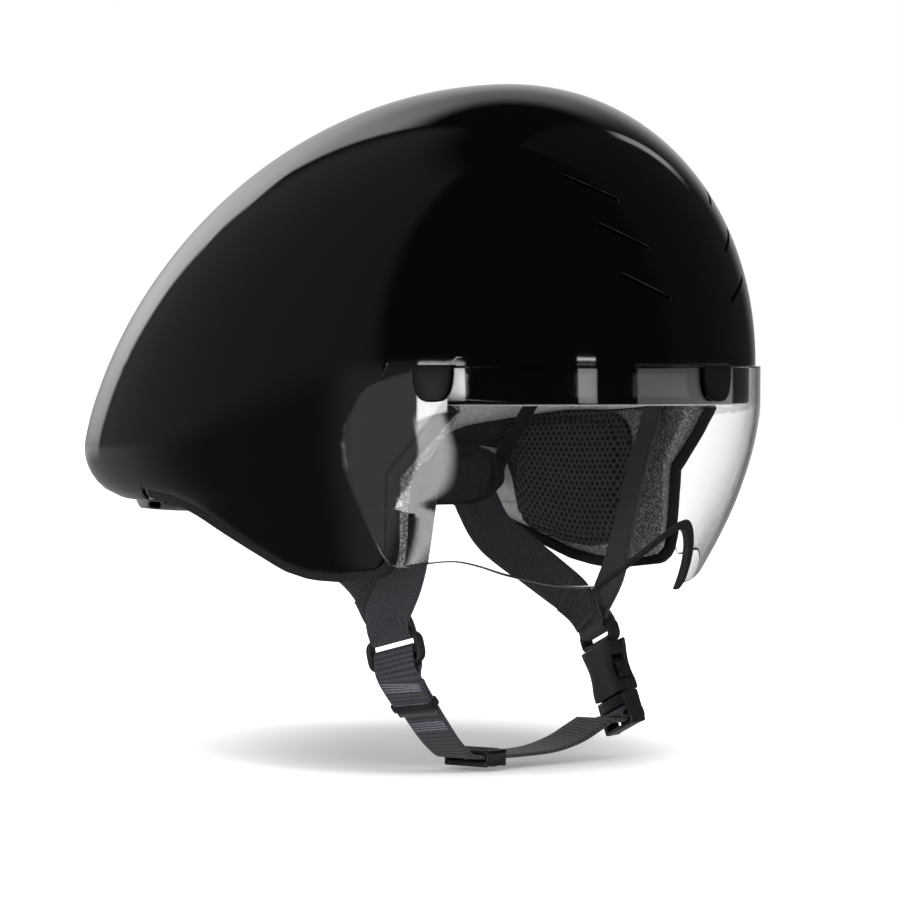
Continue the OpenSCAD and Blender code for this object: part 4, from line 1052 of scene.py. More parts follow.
def stitches(path, across, places, offset, width=13.0, per_row=7, half=1.5, thick=0.42):
    """Rows of raised threads on the face of webbing: places are shares of the path."""
    tangent, side, normal = frames(path, across)
    out = []
    for i in [int(round(place * (len(path) - 1))) for place in places]:
        for k in range(per_row):
            mid = path[i] + side[i] * (width * (k / (per_row - 1) - 0.5)) + normal[i] * offset
            lean = unit(side[i] + tangent[i] * (0.5 if k % 2 else -0.5))
            pts = [mid + lean * half * t - normal[i] * 0.25 * t * t for t in (-1, -0.6, 0, 0.6, 1)]
            wide = np.tile(np.cross(normal[i], lean), (5, 1))
            out.append(ribbon(pts, wide, thick * 2, thick, thick * 0.45))
    return joined(out)


# Stops of the legs: point and toe in degrees. Lap: height and depth in the frame of the ring or buckle, hold.
# leaves is the direction in which the front leg runs into the lap, sewn the depth and height where the
# sewn-down end starts, lift its gap, and rows the places of its stitches.
RIGHT_LEGS = dict(
    side=-1, name="right", hold=RING, wide=-RING[1], leaves=(1.5, 5, -16), sewn=(-2.4, 8.0),
    length=21, lift=0.15,
    front=[(-75.0, -19, -14, 8), (-74.6, -18.2, -22, 8), (-71.6, -14.5, -38, 7), (-69.8, -8.6, -66, 6),
           (-69.0, -3.4, -84, 5)],
    lap=[(14.5, 1.9), (9.0, 2.3), (6.6, 2.5), (4.9, 1.9), (4.4, 0.0), (4.9, -1.9), (6.6, -2.5), (9.0, -2.3)],
    rear=[(-63.6, 11.6, -97, 8), (-64.3, 17.5, -88.5, 0), (-65.4, 27, -80, -10), (-66.0, 43, -71.5, -20),
          (-64.6, 60, -62, -24), (-63.0, 71, -51, -24)],
    rows=(0.3, 0.42, 0.54, 0.66, 0.78))
LEFT_LEGS = dict(
    side=1, name="left", hold=BUCKLE, wide=BUCKLE[1], leaves=(0, 5, -12), sewn=(2.6, 33.0),
    length=17, lift=0.1,
    front=[(74.0, -19, -13, 34), (73.4, -18, -22, 33), (70.3, -14.5, -38, 32), (67.2, -7.6, -70, 30),
           (66.6, -3.2, -86, 27)],
    lap=[(37.0, -1.6), (33.0, -2.6), (30.3, -3.3), (28.2, -2.6), (27.6, 0.0), (28.2, 2.6), (30.3, 3.3),
         (33.0, 2.6)],
    rear=[(63.4, 13, -98.5, 14), (64.8, 27, -90.5, -2), (66.4, 43, -82, -14), (65.8, 61, -70.6, -22),
          (64.2, 69, -58, -24), (63.2, 71.5, -50, -24)],
    rows=(0.25, 0.4, 0.55, 0.7, 0.85))


def make_legs(side, name, hold, wide, leaves, sewn, length, lift, front, lap, rear, rows):
    """One webbing from the front anchor down round the ring or buckle and back up to the rear anchor."""
    def along(leg, k):
        return np.subtract(leg[min(k + 1, len(leg) - 1)][:3], leg[max(k - 1, 0)][:3])
    points, across = [], []
    for k, (x, y, z, toe) in enumerate(front):
        points.append((x, y, z))
        across.append(toed_across(side, toe, along(front, k) if k < len(front) - 1 else leaves))
    across = [a * np.sign(np.dot(across[0], wide)) for a in across]
    for w, n in lap:
        points.append(at(hold, 0, n, w))
        across.append(wide)
    for k, (x, y, z, toe) in enumerate(rear):
        a = toed_across(side, toe, along(rear, k))
        points.append((x, y, z))
        across.append(-a if np.dot(a, across[-1]) < 0 else a)
    path, across = spline(points, 9), spline(across, 9)
    add_piece(f"webbing_{name}", ribbon(path, across), WEBBING, f"front_strap_{name}", f"rear_strap_{name}")
    # The webbing's sewn-down end, between both legs
    first_half = np.arange(len(path)) < len(path) * 0.5
    k0 = int(np.argmin(np.abs(path - at(hold, 0, *sewn)).sum(1) + first_half * 1e3))
    run = run_along(path)
    part = slice(k0, int(np.argmax(run > run[k0] + length)) + 1)
    normal = frames(path, across)[2][part]
    outward = np.sign(-normal[:, :1])
    top = path[part] + normal * outward * (WEB_T + lift)
    add_piece(f"sewn_end_{name}", ribbon(top, across[part], WEB_W - 0.6, 1.5), WEBBING)
    add_piece(f"stitches_{name}", stitches(top, across[part], rows, float(outward[0, 0]) * 0.95), THREAD)


def chin_line():
    """Middle line of the chin strap and the direction of its width, from the ring to the buckle."""
    start = RING[0] - RING[3] * (RING_H / 2 + 2.4)
    first = spline([start, (-60.8, 2.6, -127), (-55.2, 2.4, -133.5), (-47.4, 1.5, -143), (-40, 0.6, -151.3),
                    (-31, 0, RUN_Z)], 8)
    second = spline([(4, 0, RUN_Z), (20, -1.5, RUN_Z + 0.8), (33, -4, RUN_Z + 4.0), (42, -6.2, RUN_Z + 8.2),
                     (49, -7.6, RUN_Z + 11.6)], 8)
    path = np.concatenate([first, second])
    t = np.clip(np.arange(len(path)) / 40, 0, 1)[:, None]
    return path, unit(mix(forward(RING[1]), np.array([0, -1, 0]), t))


def forward(v):
    """The direction or its opposite, whichever points to the front of the helmet."""
    return v * (-1 if v[1] > 0 else 1)


# Points of the chin line up to the end of the fold and at the keeper, and the gap in the fold
TURN_BACK, KEEPER_AT, FOLD_GAP = 21, 17, 0.5
# Distance along the chin line and height over it
THREAD_ROWS = ([(s, 1.5 * WEB_T + 0.55) for s in (2.6, 3.9, 5.2, 6.5, 14.0, 15.3)]
               + [(s, WEB_T / 2 + 0.08) for s in (25.5, 26.8, 28.1, 29.4)])


def make_chin_webbing():
    path, across = chin_line()
    tangent, side, normal = frames(path, across)
    part = slice(0, TURN_BACK)
    outward = np.sign((normal[part] * np.array([-1, 0, -0.3])).sum(1))[:, None]
    spare = (path[part] + normal[part] * outward * (WEB_T + FOLD_GAP))[::-1]
    lap = spline([at(RING, 0, n, w) for w, n in (
        (-8.4, 2.8), (-6.3, 2.9), (-3.4, 2.4), (-1.2, 2.05), (0.5, 1.3), (0.95, 0.0), (0.5, -1.3),
        (-1.2, -2.05), (-3.4, -2.4), (-6.3, -2.8), (-8.2, -2.0))], 5)
    into = [at(BUCKLE, 0, n, w) for w, n in ((-9.5, 7.4), (-7.6, 5.4), (-6.7, 3.4), (-6.6, 1.5), (-6.6, -1.5),
                                             (-7.4, -3.9), (-9.2, -4.5), (-11.6, -4.4))]
    into = spline([path[-4], path[-1]] + into, 6)[7:]
    t = np.clip(np.arange(len(into)) / 14, 0, 1)[:, None]
    whole = np.concatenate([spare[:-1], lap, path[2:], into])
    wide = np.concatenate([across[part][::-1][:-1], np.tile(across[0], (len(lap), 1)), across[2:],
                           unit(mix(across[-1], forward(BUCKLE[1]), t))])
    keep = np.append(True, np.linalg.norm(np.diff(whole, axis=0), axis=1) > 0.25)
    whole, wide = whole[keep], wide[keep]
    for _ in range(3):
        whole[1:-1] = 0.25 * whole[:-2] + 0.5 * whole[1:-1] + 0.25 * whole[2:]
        wide[1:-1] = unit(0.25 * wide[:-2] + 0.5 * wide[1:-1] + 0.25 * wide[2:])
    add_piece("webbing_chin", ribbon(whole, wide), RIBBED, "chin_strap", "strap_tail")
    # Keeper round both layers at the end of the spare webbing
    k = KEEPER_AT
    plane = (path[k] + normal[k] * outward[k] * (WEB_T + FOLD_GAP) / 2, side[k], normal[k], tangent[k])
    half = (2 * WEB_T + FOLD_GAP) / 2 + SEAT
    outer, inner = squircle(WEB_W / 2 + 1.0, half + 0.75, 6), squircle(WEB_W / 2 + 0.3, half, 8)
    ring = loop_ring(outer, inner, plane, 3.4, 3, 14)
    add_piece("webbing_keeper", ring, RUBBER, "strap_keeper", slot="keeper_elastic")
    # Rows of light thread across the webbing, below the ring and below the keeper
    run = run_along(path)
    rows = []
    for far, deep in THREAD_ROWS:
        i = int(np.argmin(np.abs(run - far)))
        mid = path[i] + (far - run[i]) * tangent[i] + normal[i] * float(outward[0, 0]) * deep
        rows.append(ribbon([mid + side[i] * w for w in (-8.6, -4, 0, 4, 8.6)], np.tile(tangent[i], (5, 1)),
                           0.6, 0.4, 0.18))
    add_piece("chin_threads", joined(rows), LIGHT)


def make_ring():
    outer, inner = squircle(RING_W / 2 + 1.3, RING_H / 2 + 0.3, 3.6), squircle(WEB_W / 2 + 0.55, 5.2, 9)
    bar = [at(RING, s, 0, -1.2) for s in np.linspace(-WEB_W / 2 - 1, WEB_W / 2 + 1, 12)]
    parts = [loop_ring(outer, inner, in_plane(RING), RING_T + 1.1, 2.2, 16),
             ribbon(bar, np.tile(RING[3], (12, 1)), 2.4, 2.2, 0.9)]
    add_piece("strap_ring", joined(parts), MOULDED, "ring_right")


def make_slider():
    w, long, high, x0 = WEB_W + 3.5, 13.0, 7.0, -20.0
    blocks = [(0, s * (w / 2 - 0.65), 0, long - 1.2, 1.3, high - 0.8, 0.55) for s in (-1, 1)]
    blocks += [(0, 0, 2.35, long, w, 2.2, 0.9), (0, 0, -2.35, 3.6, w - 1.0, 2.2, 0.9)]
    blocks += [(x, 0, -2.3, 1.8, w - 0.6, 2.3, 0.8) for x in (-5.6, 5.6)]
    blocks += [(x, 0, 3.4, 1.1, w - 4, 0.8, 0.35) for x in (-3.4, 0.0, 3.4)]
    mesh = bevel_boxes([((x0 + x, y, RUN_Z + z), size[:3], size[3]) for x, y, z, *size in blocks])
    add_piece("strap_slider", mesh, MOULDED, "chin_slider", body="strap_slider")


# Buckle

MOUTH_T = BUCKLE_T - 3.6


def buckle_box(u, n, w, *size):
    """Box in the buckle's frame: its middle, its size and its bevel."""
    return (matrix_of(*BUCKLE[1:], at(BUCKLE, u, n, w)), size[:3], *size[3:])


def make_female():
    half_w = table([(0, 11.5), (2, 11.5), (4.5, 11.0), (8, 9.6), (12, 9.2), (15.5, 9.9), (18.5, 11.2),
                    (21, 11.9), (22, 12.1)])
    ws = [0.15, 0.3, 0.7, 1.4, 2.5, 4, 5.5, 7, 8.5, 10, 11.5, 13, 14.5, 16, 17.5, 19, 20.2, 21.2, 21.8, 22.0]
    shrinks = [0.4, 0.12] + [0] * (len(ws) - 4) + [0.12, 0.4]
    meshes = []
    for side in (-1, 1):
        rows = []
        for w, shrink in zip(ws, shrinks):
            dome = 0.35 * math.sin(math.pi * min(1, max(0, w / 22)))
            wide, thick = 2 * (float(half_w(w)) - shrink), (BUCKLE_T - MOUTH_T) / 2 + dome - shrink
            sec = round_box(wide, thick, 0.75, 4, 5)
            mid = (BUCKLE_T / 2 + MOUTH_T / 2 + dome) / 2
            rows.append([at(BUCKLE, a, side * (mid + b), w) for a, b in sec])
        meshes.append(skin(rows, wrap_v=True, caps=True))
    blocks = [buckle_box(s * 10.3, 0, 2.6, 2.3, BUCKLE_T - 0.8, 4.9) for s in (-1, 1)]
    meshes.append(bevel_boxes(blocks + [buckle_box(0, 0, 18.9, 20.6, BUCKLE_T - 1.2, 5.8)], 0.6))
    outer = squircle(RING_W / 2 + 0.9, 5.4, 3.4) + (0, 26.2)
    inner = squircle(WEB_W / 2 + 0.6, 1.95, 7) + (0, 26.6)
    meshes.append(loop_ring(outer, inner, in_plane(BUCKLE), BUCKLE_T / 2 + 0.9, 2.8, 16))
    add_piece("buckle_body", joined(meshes), MOULDED, "buckle_female")


def make_male():
    base = WEB_W + 5
    blocks = [(s * (base / 2 - 1.15), 0, -7.2, 2.3, BUCKLE_T - 2, 14.0, 0.9) for s in (-1, 1)]
    blocks += [(0, 0, -2.8, base - 1, BUCKLE_T - 2.1, 5.2, 0.9),
               (0, 0, -9.0, base - 1, BUCKLE_T - 4.4, 1.9, 0.7),
               (0, 0.2, -13.35, base - 1, BUCKLE_T - 3.0, 1.5, 0.6), (0, 0, 1.0, 2.4, 3.6, 4.0, 0.4)]
    blocks += [(0, BUCKLE_T / 2 - 0.9, -1.6 - k * 0.95, base - 7, 0.5, 0.45, 0.18) for k in range(4)]
    add_piece("buckle_plug", bevel_boxes([buckle_box(*block) for block in blocks]), MOULDED, "buckle_male")


def make_prongs():
    pu, pw, pr = 5.2, 1.3, 1.0
    reach = BUCKLE_W / 2 - 0.3
    outline = [(pu - pr * math.cos(a), pw - pr * math.sin(a)) for a in np.linspace(0, math.pi, 9)]
    outline += [tuple(p) for p in spline(
        [(pu + pr, pw), (pu + 1.7, 3.6), (reach - 1.6, 4.9), (reach - 0.2, 6.2), (reach - 0.1, 8.6),
         (reach - 1.0, 11.4), (reach - 2.8, 13.8), (pu + 1, 15.1), (pu - 0.3, 14.2), (pu - 0.6, 10),
         (pu - 0.7, 6), (pu - pr, pw)], 4)[1:-1]]
    for name, sign in (("rear", 1), ("front", -1)):
        half = (MOUTH_T - 1) / 2
        mesh = prism([(sign * u, v) for u, v in outline], in_plane(BUCKLE), -half, half, 0.45)
        add_piece(f"buckle_spring_{name}", mesh, SATIN, f"buckle_prong_{name}", body=f"prong_{name}")


def make_anchors():
    blocks = [(shift(s * x, y, z) @ spin(s * turn, "Z"), (2.4, WEB_W + 3, 7.0), 0.7)
              for s in (1, -1) for x, y, z, turn in ((75.5, -19, -11.6, -10), (63.8, 70, -48.4, 24))]
    add_piece("anchor_plates", bevel_boxes(blocks), MOULDED, "strap_anchors")


def make_magnets():
    def disc(a, d, surface, radius, high):
        turn = math.degrees(math.atan2(FRONT * math.sin(rad(a)), HALF * math.cos(rad(a))))
        n, u = turn_z(turn_x((0, 0, 1), 90), turn), turn_z((1, 0, 0), turn)
        profile = [(0, 0), (radius - 0.25, 0), (radius, 0.25), (radius, high - 0.25), (radius - 0.25, high),
                   (0, high)]
        return turned(profile, (surface(a, -7.0, d), u, np.cross(n, u), n), 48)
    for name, node, surface, d, high, body in (
            ("band_magnets", "shell_magnets", shell_pt, BAND_D + MAGNET_T, MAGNET_T - 0.2, "helmet"),
            ("lens_magnets", "visor_magnets", lens_pt, LENS_OUT + 0.3, MAGNET_T - 0.3, "visor")):
        parts = [disc(a, d, surface, MAGNET_R - 0.05, high) for a in (-TAB_ANGLE, 0, TAB_ANGLE)]
        add_piece(name, joined(parts), METAL, node, body=body)


# Cradle and dial

LOBE_TOP = table([(123, -42), (126, -36), (132, -33), (150, -33), (158, -36), (166, -40), (180, -41)])
LOBE_LOW = table([(123, -49), (126, -55), (132, -58.5), (148, -59), (158, -57), (166, -55.5), (180, -55)])


def soft_table(fn, a, reach=1.6):
    """The table's value, with its corners rounded off over reach degrees on both sides."""
    return np.mean([fn(a + k * reach) for k in (-1, -0.5, 0, 0.5, 1)], axis=0)


def cradle_pt(a, z, d):
    a, z, d = spread(a, z, d)
    return np.stack([(CRADLE_S - d) * np.sin(rad(a)), -(CRADLE_F - d) * np.cos(rad(a)), z], -1)


def make_cradle():
    a = np.concatenate([[123, 123.15, 123.5, 124, 124.8, 126], np.linspace(127.5, 180, 36)])
    a = np.concatenate([a, 360 - a[-2::-1]])
    fold = np.minimum(a, 360 - a)
    top, low = (soft_table(fn, np.maximum(fold, 124.6)) for fn in (LOBE_TOP, LOBE_LOW))
    squeeze = np.clip((fold - 123) / 3.0, 0, 1)
    squeeze = np.sqrt(1 - (1 - squeeze) ** 2) * 0.7 + 0.3
    mid = (top + low) / 2
    top, low = mix(mid, top, squeeze), mix(mid, low, squeeze)
    front, back = [], []
    for s in (0, 0.015, 0.05, *np.linspace(0.12, 0.88, 9), 0.95, 0.985, 1):
        edge = 0.7 * max(0, 1 - min(s, 1 - s) / 0.05) ** 2
        front.append(cradle_pt(a, mix(low, top, s), edge))
        back.append(cradle_pt(a, mix(low, top, s), CRADLE_T - edge))
    obj = add_piece("cradle_band", slab(front, back), MOULDED, "cradle_shell", body="cradle")
    holes = [shift(*(cradle_pt(angle, -46, CRADLE_T / 2) * (side, 1, 1))) @ spin(side * (180 - angle), "Z")
             @ spin(90, "X") for side in (1, -1) for angle in (136, 147)]
    shade_by_angle(subtract(obj, rods(holes, 3.6, 6)), 40)

    def lobe(side):
        def place(s, u, d):
            angle = mix(126.5, 161, (s + 1) / 2)
            z = mix(LOBE_LOW(angle) + 1.5, LOBE_TOP(angle) - 1.5, (u + 1) / 2)
            return cradle_pt(angle, z, d) * (side, 1, 1)
        return place
    for side, name in SIDES:
        mesh = cushion(lobe(side), 24, 11, CRADLE_T + SEAT, 3.0, lip=1.6, rim=0.45, n=50)
        add_piece(f"cradle_cushion_{name}", mesh, FELT, f"cradle_pad_{name}", body="cradle", fill=0.6)


PIN_S = float(wall_pt(-25, 3, 0)[0])
ARM_X0 = PIN_S - 1.6 - 1.2 - 2.2 / 2 - SEAT


def make_arms():
    route = spline([(ARM_X0, 25, 3), (69.6, 33, -6), (66.8, 40, -15), (64.4, 46.5, -26), (62.1, 52, -36),
                    (60.7, 55.1, -43)], 10)[4:]
    tangent = unit(np.gradient(route, axis=0))
    share = (np.arange(len(route)) / len(route))[:, None]
    across = unit(np.cross(mix(np.array([0.93, 0.36, 0]), np.array([0.87, 0.49, 0]), share), tangent))
    widths = np.interp(np.arange(len(route)), [0, 6, 20, len(route) - 1], [0.95, 0.85, 0.9, 1.05])
    pins = []
    for side, name in SIDES:
        bar = ribbon(route * (side, 1, 1), across * (side, 1, 1), 6.4, 1.8, 0.8, widths)
        eye = loop_ring(squircle(6, 6, 2, 48), squircle(2.6, 2.6, 2, 48),
                        side_plane(side * ARM_X0, 25, 3, -side), 2.2, 5, 14)
        add_piece(f"arm_{name}", joined([bar, eye]), MOULDED, f"cradle_arm_{name}", body="cradle_arms")
        profile = [(0, 0), (5.6, 0), (6, 0.35), (6, 0.9), (5.7, 1.2), (2.5, 1.2), (2.5, 4.0), (3.6, 4.0),
                   (3.7, 4.2), (3.5, 4.6), (2.9, 4.8), (0, 4.85)]
        pins.append(turned(profile, side_plane(side * (PIN_S - 1.6), 25, 3, -side), 40))
    add_piece("arm_rivets", joined(pins), SATIN, "arm_pins")


HOUSE_Y, HOUSE_W, HOUSE_H, HOUSE_D, WALL, COVER_T = CRADLE_F + SEAT, 66.0, 20.0, 5.2, 1.4, 1.6
PITCH, TOOTH_T, SHAFT_R, FLUTES = 3.0, 2.4, 2.4, 20
PITCH_R, GEAR_Y = PITCH * 10 / (2 * math.pi), HOUSE_Y + WALL + 0.5
RACK_LOW, RACK_H, RACK_LAP, RACK_L = PITCH_R + 0.8, 2.6, 8.0, 36.0


def dial_plane(y, across=1):
    return (0, y, DIAL_Z), (across, 0, 0), (0, 0, 1), (0, 1, 0)


def fluted(radius, turn):
    """Radius of the knob round its edge, with the finger flutes cut in."""
    if radius < 13.5:
        return np.full(len(turn), max(radius, 1e-4))
    near = (turn / (2 * math.pi / FLUTES) + 0.5) % 1 - 0.5
    arc = near * 2 * math.pi / FLUTES * (KNOB_R + 0.9)
    return radius - np.maximum(0, np.sqrt(np.maximum(0, 1.6 ** 2 - arc ** 2)) - 0.9)


def make_dial():
    blocks = [((0, HOUSE_Y + WALL / 2, DIAL_Z), (HOUSE_W, WALL, HOUSE_H))]
    for s in (-1, 1):
        mid = HOUSE_Y + HOUSE_D / 2
        blocks.append(((0, mid, DIAL_Z + s * (HOUSE_H - WALL) / 2), (HOUSE_W, HOUSE_D, WALL)))
        blocks.append(((s * (HOUSE_W - WALL) / 2, mid, DIAL_Z), (WALL, HOUSE_D, HOUSE_H)))
    add_piece("dial_case", bevel_boxes(blocks, 0.4), MOULDED, "dial_housing", body="cradle")
    plane = dial_plane(HOUSE_Y + HOUSE_D + COVER_T / 2)
    hole = SHAFT_R + 0.08
    outline = squircle(HOUSE_W / 2, HOUSE_H / 2, 9, 96)
    cover = loop_ring(outline, squircle(hole, hole, 2, 96), plane, COVER_T, 9, 20)
    rim = loop_ring(squircle(13.2, 9.2, 2), squircle(12.0, 8.4, 2), plane, COVER_T + 0.4, 3, 10)
    add_piece("dial_lid", joined([cover, rim]), SATIN, "dial_cover", body="cradle")
    face = HOUSE_Y + HOUSE_D + COVER_T + SEAT
    deep = -(face - GEAR_Y - TOOTH_T - 0.02)
    profile = [(0, deep), (2.2, deep), (2.4, deep + 0.3), (2.4, 0.0), (13.0, 0.0), (14.3, 0.0), (14.85, 0.3),
               (15, 0.8), (15, 3), (15, 6.4), (14.75, 7.3), (14.2, 7.8), (13.4, 8.0), (11.6, 8.0),
               (11.1, 7.8), (10.9, 7.3), (10.8, 6.85), (9.5, 6.8), (0, 6.8)]
    add_piece("dial_wheel", turned(profile, dial_plane(face), 240, fluted), RUBBER, "dial_knob", body="dial",
              slot="moulded_black")
    tooth = [(-0.95, 11), (-0.9, 8.6), (0.45, 4.2), (0.6, 2.6)]
    tooth = [(r, -half) for r, half in tooth] + tooth[::-1]
    outline = [((PITCH_R + r) * math.sin(a), (PITCH_R + r) * math.cos(a)) for k in range(10)
               for r, half in tooth for a in [math.radians(k * 36 + half)]]
    mesh = prism(outline, dial_plane(GEAR_Y, -1), 0, TOOTH_T, 0.12)
    add_piece("dial_gear", mesh, GEAR, "dial_pinion", body="dial")
    part = -RACK_LAP / PITCH + 0.9 - 0.5
    phase = (part - math.floor(part)) * PITCH
    bar = [(-RACK_LAP, RACK_LOW + RACK_H), (-RACK_LAP, RACK_LOW)]
    for k in range(int(RACK_L / PITCH)):
        x = -RACK_LAP + (k + 0.9) * PITCH - phase
        if -RACK_LAP < x - 0.75 and x + 0.75 < RACK_L - RACK_LAP:
            bar += [(x + u, RACK_LOW - v) for u, v in ((-0.72, 0), (-0.42, 1.35), (-0.3, 1.45), (0.3, 1.45),
                                                       (0.42, 1.35), (0.72, 0))]
    bar += [(RACK_L - RACK_LAP, RACK_LOW), (RACK_L - RACK_LAP, RACK_LOW + RACK_H)]
    for name, side, sign in (("upper", "left", 1), ("lower", "right", -1)):
        mesh = prism([(sign * u, sign * v) for u, v in bar], dial_plane(GEAR_Y), 0, TOOTH_T, 0.1)
        add_piece(f"rack_bar_{name}", mesh, GEAR, f"rack_{side}", body=f"rack_{name}")


make_shell()
make_liner()
make_band()
for side, name in SIDES:
    make_trim(side, name)
make_lens_piece()
make_edging()
make_tab("centre", 0, SPAN_FRONT)
for side, name in SIDES:
    make_tab(name, side * TAB_ANGLE, SPAN_SIDE)
make_keel()
make_pads()
make_flap_foam()
make_legs(**RIGHT_LEGS)
make_legs(**LEFT_LEGS)
make_chin_webbing()
make_ring()
make_slider()
make_female()
make_male()
make_prongs()
make_anchors()
make_magnets()
make_cradle()
make_arms()
make_dial()

# Floor, light and camera

FLOOR_Z, FLOOR_SIZE = -0.1635, 12.0
PX_PER_MM, DISTANCE, YAW = 2.45, 1.9, -50.0
# Size of the picture in pixels, and the column and row on which the origin is seen
PICTURE, CENTRE_X, EYE_Y = 900, 506.5, 366
FLOOR_GLOW, WORLD_FILL = 0.15, 0.48
BACK = Vector((math.sin(math.radians(YAW)), -math.cos(math.radians(YAW)), 0))
RIGHT = Vector((math.cos(math.radians(YAW)), math.sin(math.radians(YAW)), 0))


def make_floor():
    """Pale floor that keeps the shadow, and glows white further out for the camera."""
    mesh = bpy.data.meshes.new("floor")
    corners = ((-1, -1), (1, -1), (1, 1), (-1, 1))
    mesh.from_pydata([(x * FLOOR_SIZE, y * FLOOR_SIZE, FLOOR_Z) for x, y in corners], [], [(0, 1, 2, 3)])
    floor = bpy.data.objects.new("floor", mesh)
    bpy.context.scene.collection.objects.link(floor)
    floor.rotation_euler = (0, 0, math.radians(YAW))
    floor.location = BACK * -0.1 - RIGHT * 0.025
    mat, g = new_material("studio_floor", (0.9, 0.9, 0.9), 0.9, Specular_IOR_Level=0.0)
    oval = g.add("Mapping")
    oval.inputs["Scale"].default_value = (1 / 0.155, 1 / 0.33, 1)
    g.join(g.add("TexCoord").outputs["Object"], oval, 0)
    flat = g.add("VectorMath", operation="MULTIPLY")
    flat.inputs[1].default_value = (1, 1, 0)
    g.join(oval.outputs[0], flat, 0)
    length = g.add("VectorMath", operation="LENGTH")
    g.join(flat.outputs[0], length, 0)
    path = g.add("LightPath").outputs
    seen = g.times(g.math("MAXIMUM", path["Is Camera Ray"], path["Is Transmission Ray"]),
                   g.math("LESS_THAN", path["Diffuse Depth"], 0.5))
    glow = g.add("Emission")
    glow.inputs[0].default_value = (1, 1, 1, 1)
    g.join(g.times(seen, g.step(length.outputs["Value"], 0.2, 1.15, FLOOR_GLOW, 1.0)), glow, 1)
    both = g.add("AddShader")
    g.join(g.shader.outputs[0], both, 0)
    g.join(glow.outputs[0], both, 1)
    # Mirrored rays pass through it to the table top in the world
    g.show(g.blend(g.math("GREATER_THAN", path["Glossy Depth"], 0.5), both, g.add("BsdfTransparent")))
    mesh.materials.append(mat)


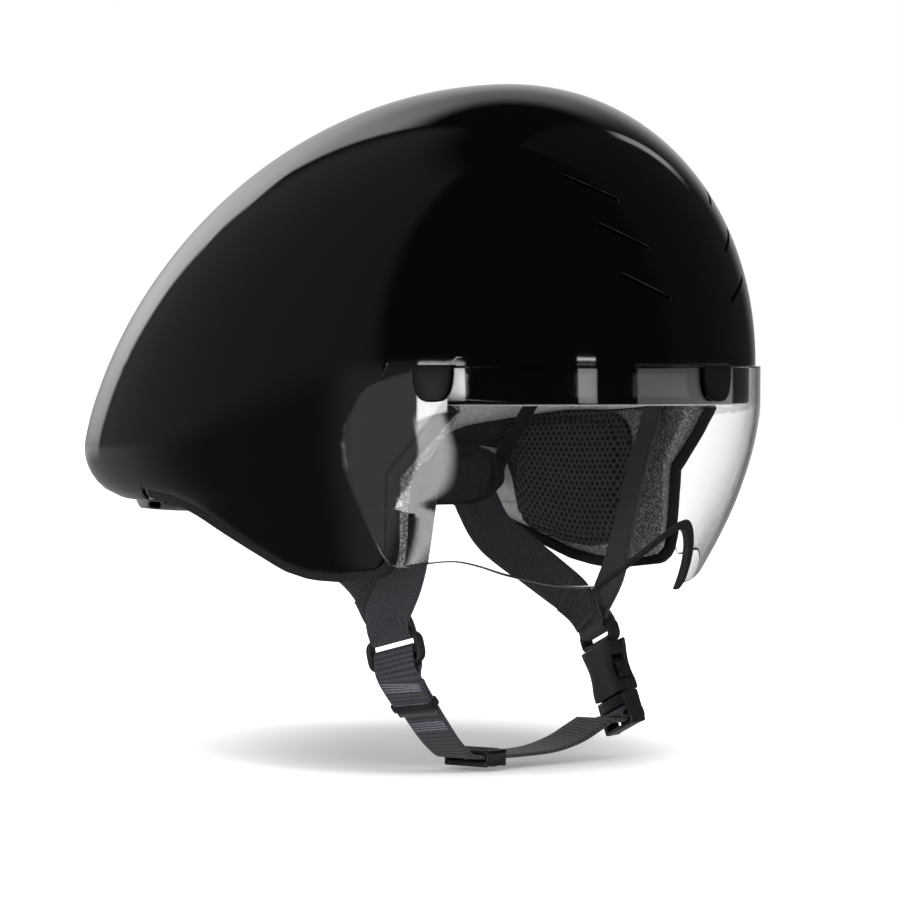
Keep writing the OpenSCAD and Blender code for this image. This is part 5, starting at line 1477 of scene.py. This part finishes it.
def make_world():
    """White where the camera looks; a dark studio with a lit back wall and strip for the gloss to mirror."""
    world = bpy.data.worlds.new("studio")
    bpy.context.scene.world = world
    world.use_nodes = True
    g = Graph(world.node_tree)
    step, times, plus = g.step, g.times, g.plus
    x, y, z = g.split("Generated")

    def along(v):
        return g.math("MULTIPLY_ADD", y, v.y, g.math("MULTIPLY", x, v.x))
    # Degrees to the right of the camera's direction, and upwards
    az = times(g.math("ARCTAN2", along(RIGHT), along(-BACK)), 180 / math.pi)
    el = times(g.math("ARCSINE", z), 180 / math.pi)

    def patch(az_low, az_high, el_low, el_high, strength, soft):
        return times(step(az, az_low - soft, az_low + soft), step(az, az_high + soft, az_high - soft),
                     step(el, el_low - soft, el_low + soft), step(el, el_high + soft, el_high - soft),
                     strength)
    # Lit back wall: bright towards its left end, where it stops sharply
    left_end = g.math("SUBTRACT", az, step(el, 26, 31, 0.0, 4.5))
    wall = times(step(left_end, -39.5, -36), step(az, 36, 8), step(el, 55, 42), step(el, -7, 3),
                 step(az, -4, -37, 0.66, 1.9), step(el, -2, 13, 0.42, 1.0), step(el, 24, 36, 1.0, 0.72))
    # Grey room to its left; the right side and the camera's side are darker
    room = times(step(az, -122, -112, 0.012, 0.165), step(az, -32, -44), step(el, 75, 55), step(el, -2, 1))
    right = times(step(az, 20, 40), step(az, 118, 100, 0.004, 0.05))
    strip = times(step(az, 32.5, 34.5), step(az, 39.5, 37.5), step(el, 24, 34), step(el, 50, 44), 1.5)
    # Table top, mirrored by what faces down, and the lit cards that the visor and the band mirror
    table_top = times(step(el, 1, -2), step(az, -142, -132), step(az, 30, 10),
                      plus(step(az, -52, -78, 0.3, 0.07), step(az, -98, -112, 0, 0.27)))
    stripe = times(step(g.math("MULTIPLY_ADD", el, -1.35, az), -124.6, -125.9),
                   step(g.math("MULTIPLY_ADD", el, -0.95, az), -140, -136), step(el, -4, -6),
                   step(el, -50, -40), 4.4)
    mirror = plus(plus(wall, room), plus(right, strip), table_top,
                  patch(-145, -132.9, -5.0, -0.3, 8.5, 0.4), patch(-152.5, -145, -2.4, -0.3, 7.0, 0.4),
                  stripe, patch(60, 127.5, -3, 0.0, 0.9, 0.5), patch(148.5, 157.5, -2.6, -0.1, 2.2, 0.4),
                  patch(148.5, 157.5, 0.9, 1.5, 14, 0.25))
    mirror = g.math("MAXIMUM", mirror, 0.01)
    # Straight through the visor the background stays white; what was mirrored on the way shows the studio
    path = g.add("LightPath").outputs
    mirrored = g.math("GREATER_THAN", path["Glossy Depth"], 0.5)
    scattered = g.math("GREATER_THAN", path["Diffuse Depth"], 0.5)
    clean = g.math("SUBTRACT", 1.0, g.math("MAXIMUM", mirrored, scattered))
    white = g.math("MAXIMUM", path["Is Camera Ray"], times(path["Is Transmission Ray"], clean))
    glossy = times(mirrored, g.math("SUBTRACT", 1.0, scattered))
    rest = g.math("SUBTRACT", 1.0, g.math("MAXIMUM", glossy, white))
    back = g.nodes["Background"]
    back.inputs[0].default_value = (1, 1, 1, 1)
    g.join(plus(times(glossy, mirror), plus(white, times(rest, WORLD_FILL))), back, 1)


def make_lamp(name, place, aim_z, size, size_y, power):
    """Soft lamp that lights the object and isn't seen in it."""
    data = bpy.data.lights.new(name, "AREA")
    data.energy, data.shape, data.size, data.size_y = power, "RECTANGLE", size, size_y
    obj = bpy.data.objects.new(name, data)
    obj.location = place
    obj.rotation_euler = (Vector((0, 0, aim_z)) - place).to_track_quat("-Z", "Y").to_euler()
    bpy.context.scene.collection.objects.link(obj)
    obj.visible_camera = obj.visible_glossy = obj.visible_transmission = False


def make_camera():
    data = bpy.data.cameras.new("camera")
    cam = bpy.data.objects.new("camera", data)
    bpy.context.scene.collection.objects.link(cam)
    bpy.context.scene.camera = cam
    cam.location = RIGHT * ((PICTURE / 2 - CENTRE_X) / PX_PER_MM * MM) + BACK * DISTANCE
    cam.rotation_euler = (-BACK).to_track_quat("-Z", "Y").to_euler()
    data.sensor_width = 36.0
    data.lens = PX_PER_MM * DISTANCE / MM * data.sensor_width / PICTURE
    data.shift_y = -(PICTURE / 2 - EYE_Y) / PICTURE
    data.clip_start, data.clip_end = 0.1, 50


make_floor()
make_world()
make_lamp("overhead", BACK * 0.75 + RIGHT * 0.12 + Vector((0, 0, 1.35)), -0.05, 0.8, 0.8, 16)
make_lamp("key", BACK * 1.3 + RIGHT * -0.9 + Vector((0, 0, 0.5)), -0.05, 0.8, 0.8, 6)
make_lamp("inside", BACK * 0.95 + RIGHT * 0.55 + Vector((0, 0, -0.04)), -0.04, 0.4, 0.3, 2.6)
make_camera()
bpy.context.scene.view_settings.view_transform = "Standard"
